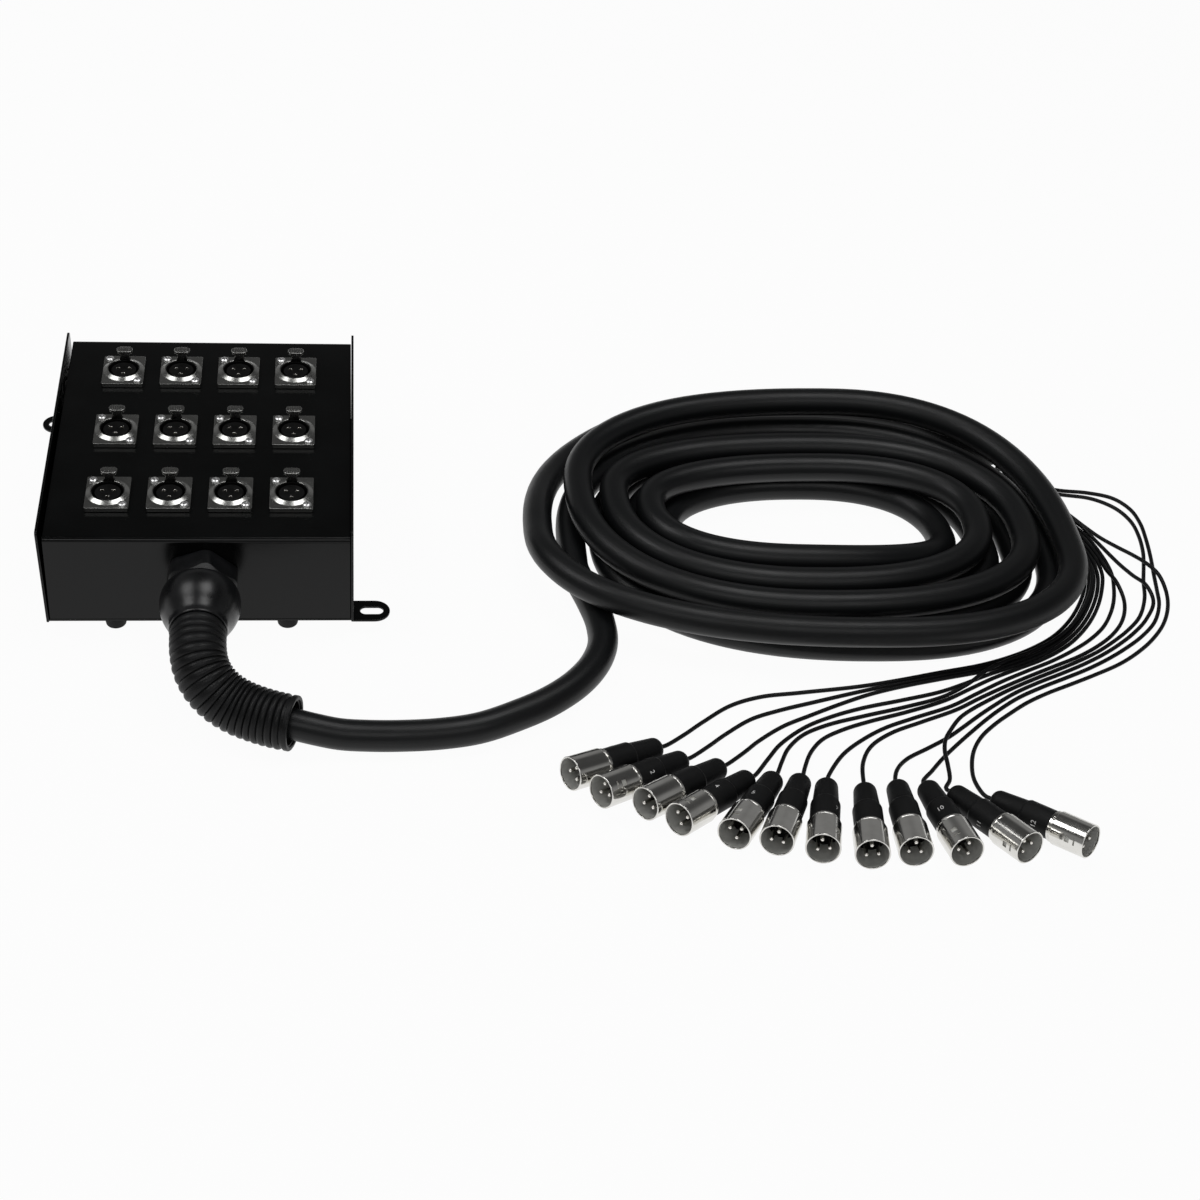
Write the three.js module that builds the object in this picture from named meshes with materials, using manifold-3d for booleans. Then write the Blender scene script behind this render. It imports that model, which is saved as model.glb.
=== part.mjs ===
import * as THREE from 'three';
import { mergeVertices } from 'three/addons/utils/BufferGeometryUtils.js';
import Module from 'manifold-3d';

// Stage box snake: a low steel box with twelve round three-pole sockets in its lid, and a thick
// trunk cable that leaves the front through a gland and a corrugated hose, lies in a coil beside
// the box and splits into twelve thin tails, each with a cable plug.
// Millimetres, +Z up, +X to the right, +Y to the back. The origin is on the floor under the middle
// of the box.

// Box
const coverWidth = 179.4;
const coverDepth = 209.4;
const coverTop = 70.6;
const sheet = 1.5;
const coverBend = 3;
const seam = 0.3;
const footHeight = 8;
const cheekLip = 5.6;
const cheekForward = 1.5;
const cheekCorner = 2.5;
const baseTop = footHeight + sheet;
const trayWidth = coverWidth + 2 * (seam + sheet);
const cheekTop = coverTop + cheekLip;
const cheekDepth = coverDepth + 2 * cheekForward;

// Fixing ears of the tray, one at the right front and one at the left rear
const earReach = 22;
const earWidth = 18.6;
const earSlotLength = 14;
const earSlotWidth = 7;
const earInset = 9.5;

// Feet
const footDiameter = 14;
const footTipDiameter = 12;
const footInsetX = 40;
const footInsetY = 7.7;
const footChamfer = 1.2;

// Sockets
const socketColumns = 4;
const socketRows = 3;
const socketPitchX = 36.3;
const socketPitchY = 64.7;
const socketShiftY = 1.1;
const flangeWidth = 26;
const flangeDepth = 31;
const flangeThick = 3;
const flangeCorner = 2.2;
const collarHeight = 3;
const collarBase = 25;
const collarRim = 20.4;
const socketBore = 19.2;
const insertDiameter = 15.6;
const insertRecess = 5;
const socketDepth = 15;
const shellDiameter = 23.2;
const shellFloor = 2.5;
const contactHole = 2.8;
const contactCircle = 8;
const contactHoleDepth = 9;
const cutoutGap = 0.35;
const screwHead = 5.2;
const screwHeadHeight = 0.9;
const screwInset = 3.6;

// Release tabs of the sockets
const tabWidth = 10;
const tabDepth = 6;
const tabThick = 2;
const tabCorner = 2;
const tabRise = 4.7;
const tabShift = 1;
const neckWidth = 6;
const neckDepth = 2.2;
const neckGap = 0.35;
const boreWall = 1.5;
const slotWall = 0.9;
const barWidth = 8.4;
const barHeight = 3;
const barGap = 0.3;
const tabTravel = 1.5;
const barDrop = 10;
const notchDepth = 6;

// Gland
const glandX = 2;
const glandZ = 41.5;
const glandBore = 22.5;
const glandThread = 35;
const glandThreadLength = 6;
const glandHex = 43;
const glandHexThick = 15.5;
const glandHexTurn = 18;
const nutDiameter = 47.4;
const nutLength = 33.5;
const nutMouth = 35;
const nutBackShare = 0.78;
const nutSwellShare = 0.24;
const nutBandShare = 0.5;
const nutShoulderShare = 0.86;

// Corrugated hose, trunk cable and tails
const trunk = 18.5;
const hoseCrest = 33;
const hoseValley = 30.4;
const hoseBore = 26;
const hoseRibs = 21;
const hoseSides = 8;
const boreStep = 3;
const trunkSides = 10;
const trunkSteps = 28;
const tail = 2.2;
const tailSides = 8;
const tailSteps = 24;
const meet = 0.3;

// Breakout boot between the trunk and the tails
const bootLength = 34;
const bootBack = 18.6;
const bootFront = 15.6;
const bootEdge = 1.5;

// Cable plugs
const plugShell = 19;
const plugShellLength = 24;
const plugCollar = 17.2;
const plugCollarLength = 19;
const plugBoot = 15.4;
const plugBootLength = 41;
const plugBootTip = 13;
const plugBootRound = 2.5;
const plugCavity = 15.8;
const plugCavityDepth = 17;
const pinDiameter = 2.4;
const pinLength = 11;
const tailSleeve = 4.6;
const tailSleeveDepth = 24;

const roundSides = 16;
const socketSides = 12;
const hexSides = 6;
const holeSides = 5;
const plugSides = 10;
const overrun = 1;

const wasm = await Module();
wasm.setup();

function volumeOf(geometry) {
  const p = geometry.attributes.position;
  const index = geometry.index;
  const a = new THREE.Vector3();
  const b = new THREE.Vector3();
  const c = new THREE.Vector3();
  let volume = 0;
  for (let i = 0; i < index.count; i += 3) {
    a.fromBufferAttribute(p, index.getX(i));
    b.fromBufferAttribute(p, index.getX(i + 1));
    c.fromBufferAttribute(p, index.getX(i + 2));
    volume += a.dot(b.cross(c));
  }
  return volume;
}

// One closed skin with shared corners and its faces pointing out
function skin(source) {
  const geometry = source.clone();
  geometry.deleteAttribute('normal');
  geometry.deleteAttribute('uv');
  const merged = mergeVertices(geometry, 1e-4);
  if (volumeOf(merged) < 0) {
    const index = merged.index;
    for (let i = 0; i < index.count; i += 3) {
      const first = index.getX(i);
      index.setX(i, index.getX(i + 1));
      index.setX(i + 1, first);
    }
  }
  return merged;
}

function solid(source) {
  const geometry = skin(source);
  const vertProperties = new Float32Array(geometry.attributes.position.array);
  const triVerts = new Uint32Array(geometry.index.array);
  return new wasm.Manifold(new wasm.Mesh({ numProp: 3, vertProperties, triVerts }));
}

function surface(body) {
  const result = body.getMesh();
  const geometry = new THREE.BufferGeometry();
  const corners = new Float32Array(result.vertProperties);
  geometry.setAttribute('position', new THREE.BufferAttribute(corners, 3));
  geometry.setIndex(new THREE.BufferAttribute(new Uint32Array(result.triVerts), 1));
  return geometry;
}

function block(x0, x1, y0, y1, z0, z1) {
  const geometry = new THREE.BoxGeometry(x1 - x0, y1 - y0, z1 - z0);
  return geometry.translate((x0 + x1) / 2, (y0 + y1) / 2, (z0 + z1) / 2);
}

// A solid of revolution about +Z from [radius, height] pairs
function turned(profile, sides) {
  const points = profile.map(([radius, height]) => new THREE.Vector2(radius, height));
  return new THREE.LatheGeometry(points, sides).rotateX(Math.PI / 2);
}

function rod(diameter, z0, z1, sides) {
  return turned([[0, z0], [diameter / 2, z0], [diameter / 2, z1], [0, z1]], sides);
}

function ringOf(outer, inner, z0, z1, sides) {
  const profile = [[inner / 2, z0], [outer / 2, z0], [outer / 2, z1], [inner / 2, z1], [inner / 2, z0]];
  return turned(profile, sides);
}

function roundedOutline(width, depth, corner) {
  const x = width / 2 - corner;
  const y = depth / 2 - corner;
  const shape = new THREE.Shape();
  shape.absarc(x, y, corner, 0, Math.PI / 2);
  shape.absarc(-x, y, corner, Math.PI / 2, Math.PI);
  shape.absarc(-x, -y, corner, Math.PI, 1.5 * Math.PI);
  shape.absarc(x, -y, corner, 1.5 * Math.PI, 2 * Math.PI);
  return shape;
}

function plate(outline, thick, z, segments) {
  const options = { depth: thick, bevelEnabled: false, curveSegments: segments };
  return new THREE.ExtrudeGeometry(outline, options).translate(0, 0, z);
}

// An outline drawn in Y and Z, made into a slab between two X planes
function slab(outline, x0, x1, segments) {
  const options = { depth: x1 - x0, bevelEnabled: false, curveSegments: segments };
  const geometry = new THREE.ExtrudeGeometry(outline, options);
  return geometry.rotateY(Math.PI / 2).rotateX(Math.PI / 2).translate(x0, 0, 0);
}

function tube(route, diameter, sides, steps) {
  const curve = new THREE.CatmullRomCurve3(route.map(([x, y, z]) => new THREE.Vector3(x, y, z)));
  const section = new THREE.Shape();
  for (let k = 0; k < sides; k += 1) {
    const turn = (2 * Math.PI * (k + 0.5)) / sides;
    const x = (diameter / 2) * Math.cos(turn);
    const y = (diameter / 2) * Math.sin(turn);
    if (k === 0) section.moveTo(x, y);
    else section.lineTo(x, y);
  }
  section.closePath();
  return new THREE.ExtrudeGeometry(section, { steps, extrudePath: curve, bevelEnabled: false });
}

const paint = { color: 0x2b2d30, roughness: 0.45, metalness: 0.3 };
const nickel = { color: 0xb9bbbd, roughness: 0.25, metalness: 1 };
const tabMetal = { color: 0xa4a6a8, roughness: 0.35, metalness: 1 };
const rubber = { color: 0x151617, roughness: 0.8, metalness: 0 };
const plastic = { color: 0x1c1d1f, roughness: 0.5, metalness: 0 };
const jacket = { color: 0x33363a, roughness: 0.6, metalness: 0 };

const snake = new THREE.Group();

function add(name, geometry, look, place) {
  const mesh = new THREE.Mesh(geometry, new THREE.MeshStandardMaterial(look));
  mesh.name = name;
  if (place) mesh.position.set(...place);
  snake.add(mesh);
  return mesh;
}

const socketPlaces = [];
for (let row = 0; row < socketRows; row += 1) {
  for (let column = 0; column < socketColumns; column += 1) {
    const x = (column - (socketColumns - 1) / 2) * socketPitchX;
    const y = socketShiftY + ((socketRows - 1) / 2 - row) * socketPitchY;
    socketPlaces.push([x, y]);
  }
}

function label(number) {
  return String(number).padStart(2, '0');
}

// Base tray: floor plate, two standing cheeks and two fixing ears, welded into one piece
function earOutline(side, y) {
  const root = side * (trayWidth / 2 - overrun);
  const centre = side * (trayWidth / 2 + earReach - earWidth / 2);
  const shape = new THREE.Shape();
  shape.moveTo(root, y - earWidth / 2);
  shape.lineTo(centre, y - earWidth / 2);
  shape.absarc(centre, y, earWidth / 2, -Math.PI / 2, side > 0 ? Math.PI / 2 : -1.5 * Math.PI, side < 0);
  shape.lineTo(root, y + earWidth / 2);
  shape.closePath();
  const slot = new THREE.Path();
  const half = (earSlotLength - earSlotWidth) / 2;
  const slotX = centre - side * half / 2;
  slot.absarc(slotX + half, y, earSlotWidth / 2, -Math.PI / 2, Math.PI / 2);
  slot.absarc(slotX - half, y, earSlotWidth / 2, Math.PI / 2, 1.5 * Math.PI);
  slot.closePath();
  shape.holes.push(slot);
  return shape;
}

function makeTray() {
  const half = trayWidth / 2;
  const floorPlate = block(-half, half, -coverDepth / 2, coverDepth / 2, footHeight, baseTop);
  const side = new THREE.Shape();
  const front = cheekDepth / 2;
  side.moveTo(-front, footHeight);
  side.lineTo(front, footHeight);
  side.lineTo(front, cheekTop - cheekCorner);
  side.absarc(front - cheekCorner, cheekTop - cheekCorner, cheekCorner, 0, Math.PI / 2);
  side.absarc(cheekCorner - front, cheekTop - cheekCorner, cheekCorner, Math.PI / 2, Math.PI);
  side.closePath();
  let tray = solid(floorPlate);
  tray = tray.add(solid(slab(side, -half, sheet - half, 3)));
  tray = tray.add(solid(slab(side, half - sheet, half, 3)));
  const earPlace = coverDepth / 2 - earInset + cheekForward;
  tray = tray.add(solid(plate(earOutline(1, -earPlace), sheet, footHeight, 4)));
  tray = tray.add(solid(plate(earOutline(-1, earPlace), sheet, footHeight, 4)));
  return surface(tray);
}

// Cover: front, lid and back bent from one sheet, with the cutouts for sockets and gland
function bentOutline() {
  const outer = coverDepth / 2;
  const inner = outer - sheet;
  const low = baseTop + seam;
  const insideBend = coverBend - sheet;
  const shape = new THREE.Shape();
  shape.moveTo(outer, low);
  shape.lineTo(outer, coverTop - coverBend);
  shape.absarc(outer - coverBend, coverTop - coverBend, coverBend, 0, Math.PI / 2);
  shape.absarc(coverBend - outer, coverTop - coverBend, coverBend, Math.PI / 2, Math.PI);
  shape.lineTo(-outer, low);
  shape.lineTo(-inner, low);
  shape.absarc(coverBend - outer, coverTop - coverBend, insideBend, Math.PI, Math.PI / 2, true);
  shape.absarc(outer - coverBend, coverTop - coverBend, insideBend, Math.PI / 2, 0, true);
  shape.lineTo(inner, low);
  shape.closePath();
  return shape;
}

const slotFront = socketBore / 2 + boreWall;
const slotBack = slotFront + neckDepth + 2 * neckGap;
const keeperBack = slotBack + slotWall;
const keeperHalf = barWidth / 2 + neckGap + slotWall;

function makeCover() {
  let cover = solid(slab(bentOutline(), -coverWidth / 2, coverWidth / 2, 3));
  const z0 = coverTop - sheet - overrun;
  const z1 = coverTop + overrun;
  const round = rod(shellDiameter + 2 * cutoutGap, z0, z1, socketSides);
  const relief = block(-keeperHalf - cutoutGap, keeperHalf + cutoutGap, 0, keeperBack + cutoutGap, z0, z1);
  const cutout = solid(round).add(solid(relief));
  for (const [x, y] of socketPlaces) cover = cover.subtract(cutout.translate(x, y, 0));
  const reach = sheet + overrun;
  const hole = rod(glandThread + 2 * cutoutGap, -reach, reach, roundSides).rotateX(Math.PI / 2);
  cover = cover.subtract(solid(hole.translate(glandX, -coverDepth / 2, glandZ)));
  return surface(cover);
}

function makeFoot() {
  const top = footHeight - meet;
  const profile = [
    [0, 0], [footTipDiameter / 2 - footChamfer / 2, 0], [footTipDiameter / 2, footChamfer],
    [footDiameter / 2, top], [0, top],
  ];
  return turned(profile, socketSides);
}

// Socket: flange, raised conical collar, shell, insert and two screw heads in one solid.
// The flange rests on the lid, and its heights here start at the underside of the flange.
function makeSocket() {
  const bottom = flangeThick + collarHeight - socketDepth - shellFloor;
  const rim = flangeThick + collarHeight;
  const flange = plate(roundedOutline(flangeWidth, flangeDepth, flangeCorner), flangeThick, 0, 1);
  const profile = [
    [0, bottom], [shellDiameter / 2, bottom], [shellDiameter / 2, flangeThick / 2],
    [collarBase / 2, flangeThick / 2], [collarBase / 2, flangeThick], [collarRim / 2, rim], [0, rim],
  ];
  const keeperBottom = flangeThick - barDrop - barHeight - tabTravel - neckGap - slotWall;
  const keeper = block(-keeperHalf, keeperHalf, 0, keeperBack, keeperBottom, flangeThick / 2);
  let body = solid(flange).add(solid(turned(profile, socketSides))).add(solid(keeper));
  for (const side of [-1, 1]) {
    const x = side * (flangeWidth / 2 - screwInset);
    const y = -side * (flangeDepth / 2 - screwInset);
    const head = rod(screwHead, flangeThick / 2, flangeThick + screwHeadHeight, hexSides);
    body = body.add(solid(head.translate(x, y, 0)));
  }
  const gapRing = ringOf(socketBore, insertDiameter, rim - socketDepth, rim + overrun, socketSides);
  const insertTop = rim - insertRecess;
  body = body.subtract(solid(gapRing));
  body = body.subtract(solid(rod(insertDiameter + overrun, insertTop, rim + overrun, socketSides)));
  for (const turn of [0, 2 * Math.PI / 3, 4 * Math.PI / 3]) {
    const x = contactCircle / 2 * Math.sin(turn);
    const y = -contactCircle / 2 * Math.cos(turn);
    const hole = rod(contactHole, insertTop - contactHoleDepth, insertTop + overrun, holeSides);
    body = body.subtract(solid(hole.translate(x, y, 0)));
  }
  const notchHalf = neckWidth / 2 + neckGap;
  const slotBottom = keeperBottom + slotWall;
  const barCeiling = flangeThick - barDrop + neckGap;
  const notchFloor = flangeThick - notchDepth;
  const notch = block(-notchHalf, notchHalf, socketBore / 2 - boreWall, slotBack, notchFloor, rim + overrun);
  const slot = block(-notchHalf, notchHalf, slotFront, slotBack, slotBottom, rim + overrun);
  const pocketHalf = barWidth / 2 + neckGap;
  const pocket = block(-pocketHalf, pocketHalf, slotFront, slotBack, slotBottom, barCeiling);
  return surface(body.subtract(solid(notch)).subtract(solid(slot)).subtract(solid(pocket)));
}

// Release tab: a broad tab on a neck that runs down into the keeper and ends in a cross bar
function makeTab() {
  const y0 = slotFront + neckGap;
  const y1 = y0 + neckDepth;
  const low = flangeThick + tabRise;
  const outline = roundedOutline(tabWidth, tabDepth, tabCorner);
  const tab = plate(outline, tabThick, low, 1).translate(0, (y0 + y1) / 2 + tabShift, 0);
  const barTop = flangeThick - barDrop + neckGap - barGap;
  const neck = block(-neckWidth / 2, neckWidth / 2, y0, y1, barTop - barHeight / 2, low + tabThick / 2);
  const bar = block(-barWidth / 2, barWidth / 2, y0, y1, barTop - barHeight, barTop);
  return surface(solid(tab).add(solid(neck)).add(solid(bar)));
}

// Gland pieces are turned about +Z and then laid along the cable, which leaves towards -Y
function layGland(geometry) {
  return geometry.rotateX(Math.PI / 2).translate(glandX, -coverDepth / 2, glandZ);
}

function makeGlandBody() {
  const hex = ringOf(glandHex, glandBore, meet, meet + glandHexThick, hexSides);
  hex.rotateZ(THREE.MathUtils.degToRad(glandHexTurn));
  const thread = ringOf(glandThread, glandBore, -glandThreadLength, meet + overrun, roundSides);
  return layGland(surface(solid(hex).add(solid(thread))));
}

const nutStart = meet + glandHexThick + meet;

function makeGlandNut() {
  const back = nutStart;
  const front = nutStart + nutLength;
  const band = back + nutLength * nutBandShare;
  const shoulder = back + nutLength * nutShoulderShare;
  const lip = (nutMouth / 2 + nutDiameter / 2) / 2;
  const profile = [
    [glandBore / 2, back], [nutDiameter / 2 * nutBackShare, back],
    [nutDiameter / 2, back + nutLength * nutSwellShare],
    [nutDiameter / 2, band], [lip, shoulder], [nutMouth / 2, front], [glandBore / 2, front],
    [glandBore / 2, back],
  ];
  return layGland(turned(profile, roundSides));
}

// Routes, chosen point by point along the cable
const hoseRoute = [
  [2, -154.7, 41.5], [2.1, -158.9, 41.5], [2.7, -170, 39.5], [4.7, -178.5, 34.9], [9.3, -185.5, 29.5],
  [16.3, -190.2, 23.7], [25.4, -194.3, 19.4], [36, -198.6, 17.4], [47, -202.8, 16.8], [58, -206.3, 16.8],
];
const trunkRoute = [
  [2, -92, 41.5], [2, -105, 41.5], [2, -120, 41.5], [2, -135, 41.5], [2, -150, 41.5], [2.1, -158.9, 41.5],
  [2.7, -170, 39.5], [4.7, -178.5, 34.9], [9.3, -185.5, 29.4], [16.3, -190.2, 23.5], [25.4, -194.3, 18.9],
  [36, -198.3, 16.9], [47, -202.4, 16.1], [58, -205.6, 15.6], [69.4, -207.6, 13.6], [83.7, -208.6, 10.6],
  [100.8, -209, 9.5], [118, -209.1, 9.4], [141, -207.6, 9.4], [164.2, -202.8, 9.4], [188, -191.5, 9.4],
  [206.5, -180, 9.4], [223.5, -164.5, 9.4], [235.2, -147.5, 9.4], [241.5, -129, 9.4],
  [241.5, -108.5, 9.4], [237.5, -88.5, 9.4], [232.4, -70, 9.4], [229.3, -57, 9.4], [229, -46.8, 9.4],
];

// A hose as a closed skin: rings over crests and valleys outside, and a smooth bore inside
function ribbedHose() {
  const curve = new THREE.CatmullRomCurve3(hoseRoute.map(([x, y, z]) => new THREE.Vector3(x, y, z)));
  const count = 2 * hoseRibs + 1;
  const frames = curve.computeFrenetFrames(count - 1, false);
  const corners = [];
  const faces = [];
  const ring = (k, diameter) => {
    const centre = curve.getPointAt(k / (count - 1));
    for (let j = 0; j < hoseSides; j += 1) {
      const turn = (2 * Math.PI * j) / hoseSides;
      const across = frames.normals[k].clone().multiplyScalar(Math.cos(turn) * diameter / 2);
      const up = frames.binormals[k].clone().multiplyScalar(Math.sin(turn) * diameter / 2);
      corners.push(...centre.clone().add(across).add(up).toArray());
    }
    return corners.length / 3 - hoseSides;
  };
  const join = (a, b) => {
    for (let j = 0; j < hoseSides; j += 1) {
      const next = (j + 1) % hoseSides;
      faces.push(a + j, a + next, b + j, b + j, a + next, b + next);
    }
  };
  const outer = [];
  for (let k = 0; k < count; k += 1) outer.push(ring(k, k % 2 ? hoseCrest : hoseValley));
  const inner = [];
  for (let k = 0; k < count; k += 2 * boreStep) inner.push(ring(k, hoseBore));
  for (let k = 1; k < outer.length; k += 1) join(outer[k - 1], outer[k]);
  for (let k = 1; k < inner.length; k += 1) join(inner[k], inner[k - 1]);
  join(inner[0], outer[0]);
  join(outer[outer.length - 1], inner[inner.length - 1]);
  const geometry = new THREE.BufferGeometry();
  geometry.setAttribute('position', new THREE.BufferAttribute(new Float32Array(corners), 3));
  geometry.setIndex(faces);
  return skin(geometry);
}

// Coil of the trunk, clockwise from above. Each turn has its furthest left, back, right and front
// places; the first four turns spiral in on the floor and the next three spiral out on top.
const coilPlaces = [
  [229, -28], [392, 94], [536, -46], [412, -132],
  [249.5, -27], [390, 73], [515.5, -44], [403, -111],
  [270, -26], [388, 52], [495, -42], [394, -90.3],
  [291, -22], [386, 31], [469, -28], [378, -70],
  [280, -16], [396, 26], [489, -32], [380, -93],
  [257.5, -4], [394, 49], [518, -42], [384, -115],
  [235, 4], [408, 97], [544, -60], [414, -141],
  [207, -37], [392, 122], [500, 70],
];
const coilRise = 19;
const coilLevels = [
  [0, 0], [13.7, 0], [15.1, 1], [24, 1], [24.7, 1.15], [25.3, 1.15], [26.1, 1], [27.75, 1], [28.5, 0],
  [30, 0],
];
const coilEnd = 29.7;
const coilRoundness = 0.86;
const coilHeight = 9.4;
const coilSteps = 6;
const coilSides = 6;

function coilPoint(station) {
  const k = Math.min(Math.floor(station + 1e-9), coilPlaces.length - 2);
  const turn = Math.max(0, station - k) * Math.PI / 2;
  const out = Math.max(0, Math.cos(turn)) ** coilRoundness;
  const along = Math.max(0, Math.sin(turn)) ** coilRoundness;
  const [ax, ay] = coilPlaces[k];
  const [bx, by] = coilPlaces[k + 1];
  const x = k % 2 ? ax + (bx - ax) * along : bx - (bx - ax) * out;
  const y = k % 2 ? by - (by - ay) * out : ay + (by - ay) * along;
  const next = coilLevels.findIndex(([place]) => place >= station);
  const [s0, l0] = coilLevels[Math.max(0, next - 1)];
  const [s1, l1] = coilLevels[Math.max(1, next)];
  const share = (1 - Math.cos(Math.PI * Math.min(1, (station - s0) / (s1 - s0)))) / 2;
  return new THREE.Vector3(x, y, coilHeight + coilRise * (l0 + (l1 - l0) * share));
}

function coilLine(stepsPerQuarter) {
  const points = [];
  const count = Math.floor(coilEnd * stepsPerQuarter);
  for (let k = 0; k <= count; k += 1) points.push(coilPoint(k / stepsPerQuarter));
  const tip = coilPoint(coilEnd);
  if (tip.distanceTo(points[points.length - 1]) < trunk / 4) points.pop();
  points.push(tip);
  const first = points[0].clone().sub(points[1]).setZ(0).normalize();
  first.set(0, Math.sign(first.y), 0);
  points.unshift(points[0].clone().addScaledVector(first, trunk));
  const heading = coilHeading();
  points.push(tip.clone().addScaledVector(heading, trunk));
  return points;
}

function coilHeading() {
  const ahead = coilPoint(coilEnd);
  const behind = coilPoint(coilEnd - 1 / (10 * coilSteps));
  return ahead.sub(behind).normalize();
}

// A tube with one ring at each point, square to the mean of the two legs that meet there
function wound(points, diameter, sides) {
  const corners = [];
  const faces = [];
  const up = new THREE.Vector3(0, 0, 1);
  points.forEach((point, i) => {
    const before = points[Math.max(0, i - 1)];
    const after = points[Math.min(points.length - 1, i + 1)];
    const along = after.clone().sub(before).normalize();
    const across = along.clone().cross(up).normalize();
    const over = across.clone().cross(along);
    for (let j = 0; j < sides; j += 1) {
      const turn = (2 * Math.PI * j) / sides + Math.PI / 2;
      const reach = across.clone().multiplyScalar(Math.cos(turn) * diameter / 2);
      reach.addScaledVector(over, Math.sin(turn) * diameter / 2);
      corners.push(...point.clone().add(reach).toArray());
    }
    if (i === 0) return;
    const a = (i - 1) * sides;
    const b = i * sides;
    for (let j = 0; j < sides; j += 1) {
      const next = (j + 1) % sides;
      faces.push(a + j, a + next, b + j, b + j, a + next, b + next);
    }
  });
  const last = (points.length - 1) * sides;
  for (let j = 1; j < sides - 1; j += 1) {
    faces.push(0, j + 1, j);
    faces.push(last, last + j, last + j + 1);
  }
  const geometry = new THREE.BufferGeometry();
  geometry.setAttribute('position', new THREE.BufferAttribute(new Float32Array(corners), 3));
  geometry.setIndex(faces);
  return skin(geometry);
}

// Least clear distance between stretches of the coil that are not neighbours along it
function leastGap(points, diameter) {
  const along = [0];
  for (let i = 1; i < points.length; i += 1) along.push(along[i - 1] + points[i].distanceTo(points[i - 1]));
  let least = Infinity;
  for (let i = 0; i < points.length; i += 1) {
    for (let j = i + 1; j < points.length; j += 1) {
      if (along[j] - along[i] < 4 * diameter) continue;
      least = Math.min(least, points[i].distanceTo(points[j]) - diameter);
    }
  }
  return least;
}
console.log(`coil: least gap to itself ${leastGap(coilLine(24), trunk).toFixed(2)} mm`);

function makeBoot() {
  const profile = [
    [0, 0], [bootBack / 2 - bootEdge, 0], [bootBack / 2, bootEdge], [bootBack / 2, bootLength / 3],
    [bootFront / 2, bootLength - bootEdge], [bootFront / 2 - bootEdge / 2, bootLength], [0, bootLength],
  ];
  return turned(profile, roundSides);
}

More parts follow.
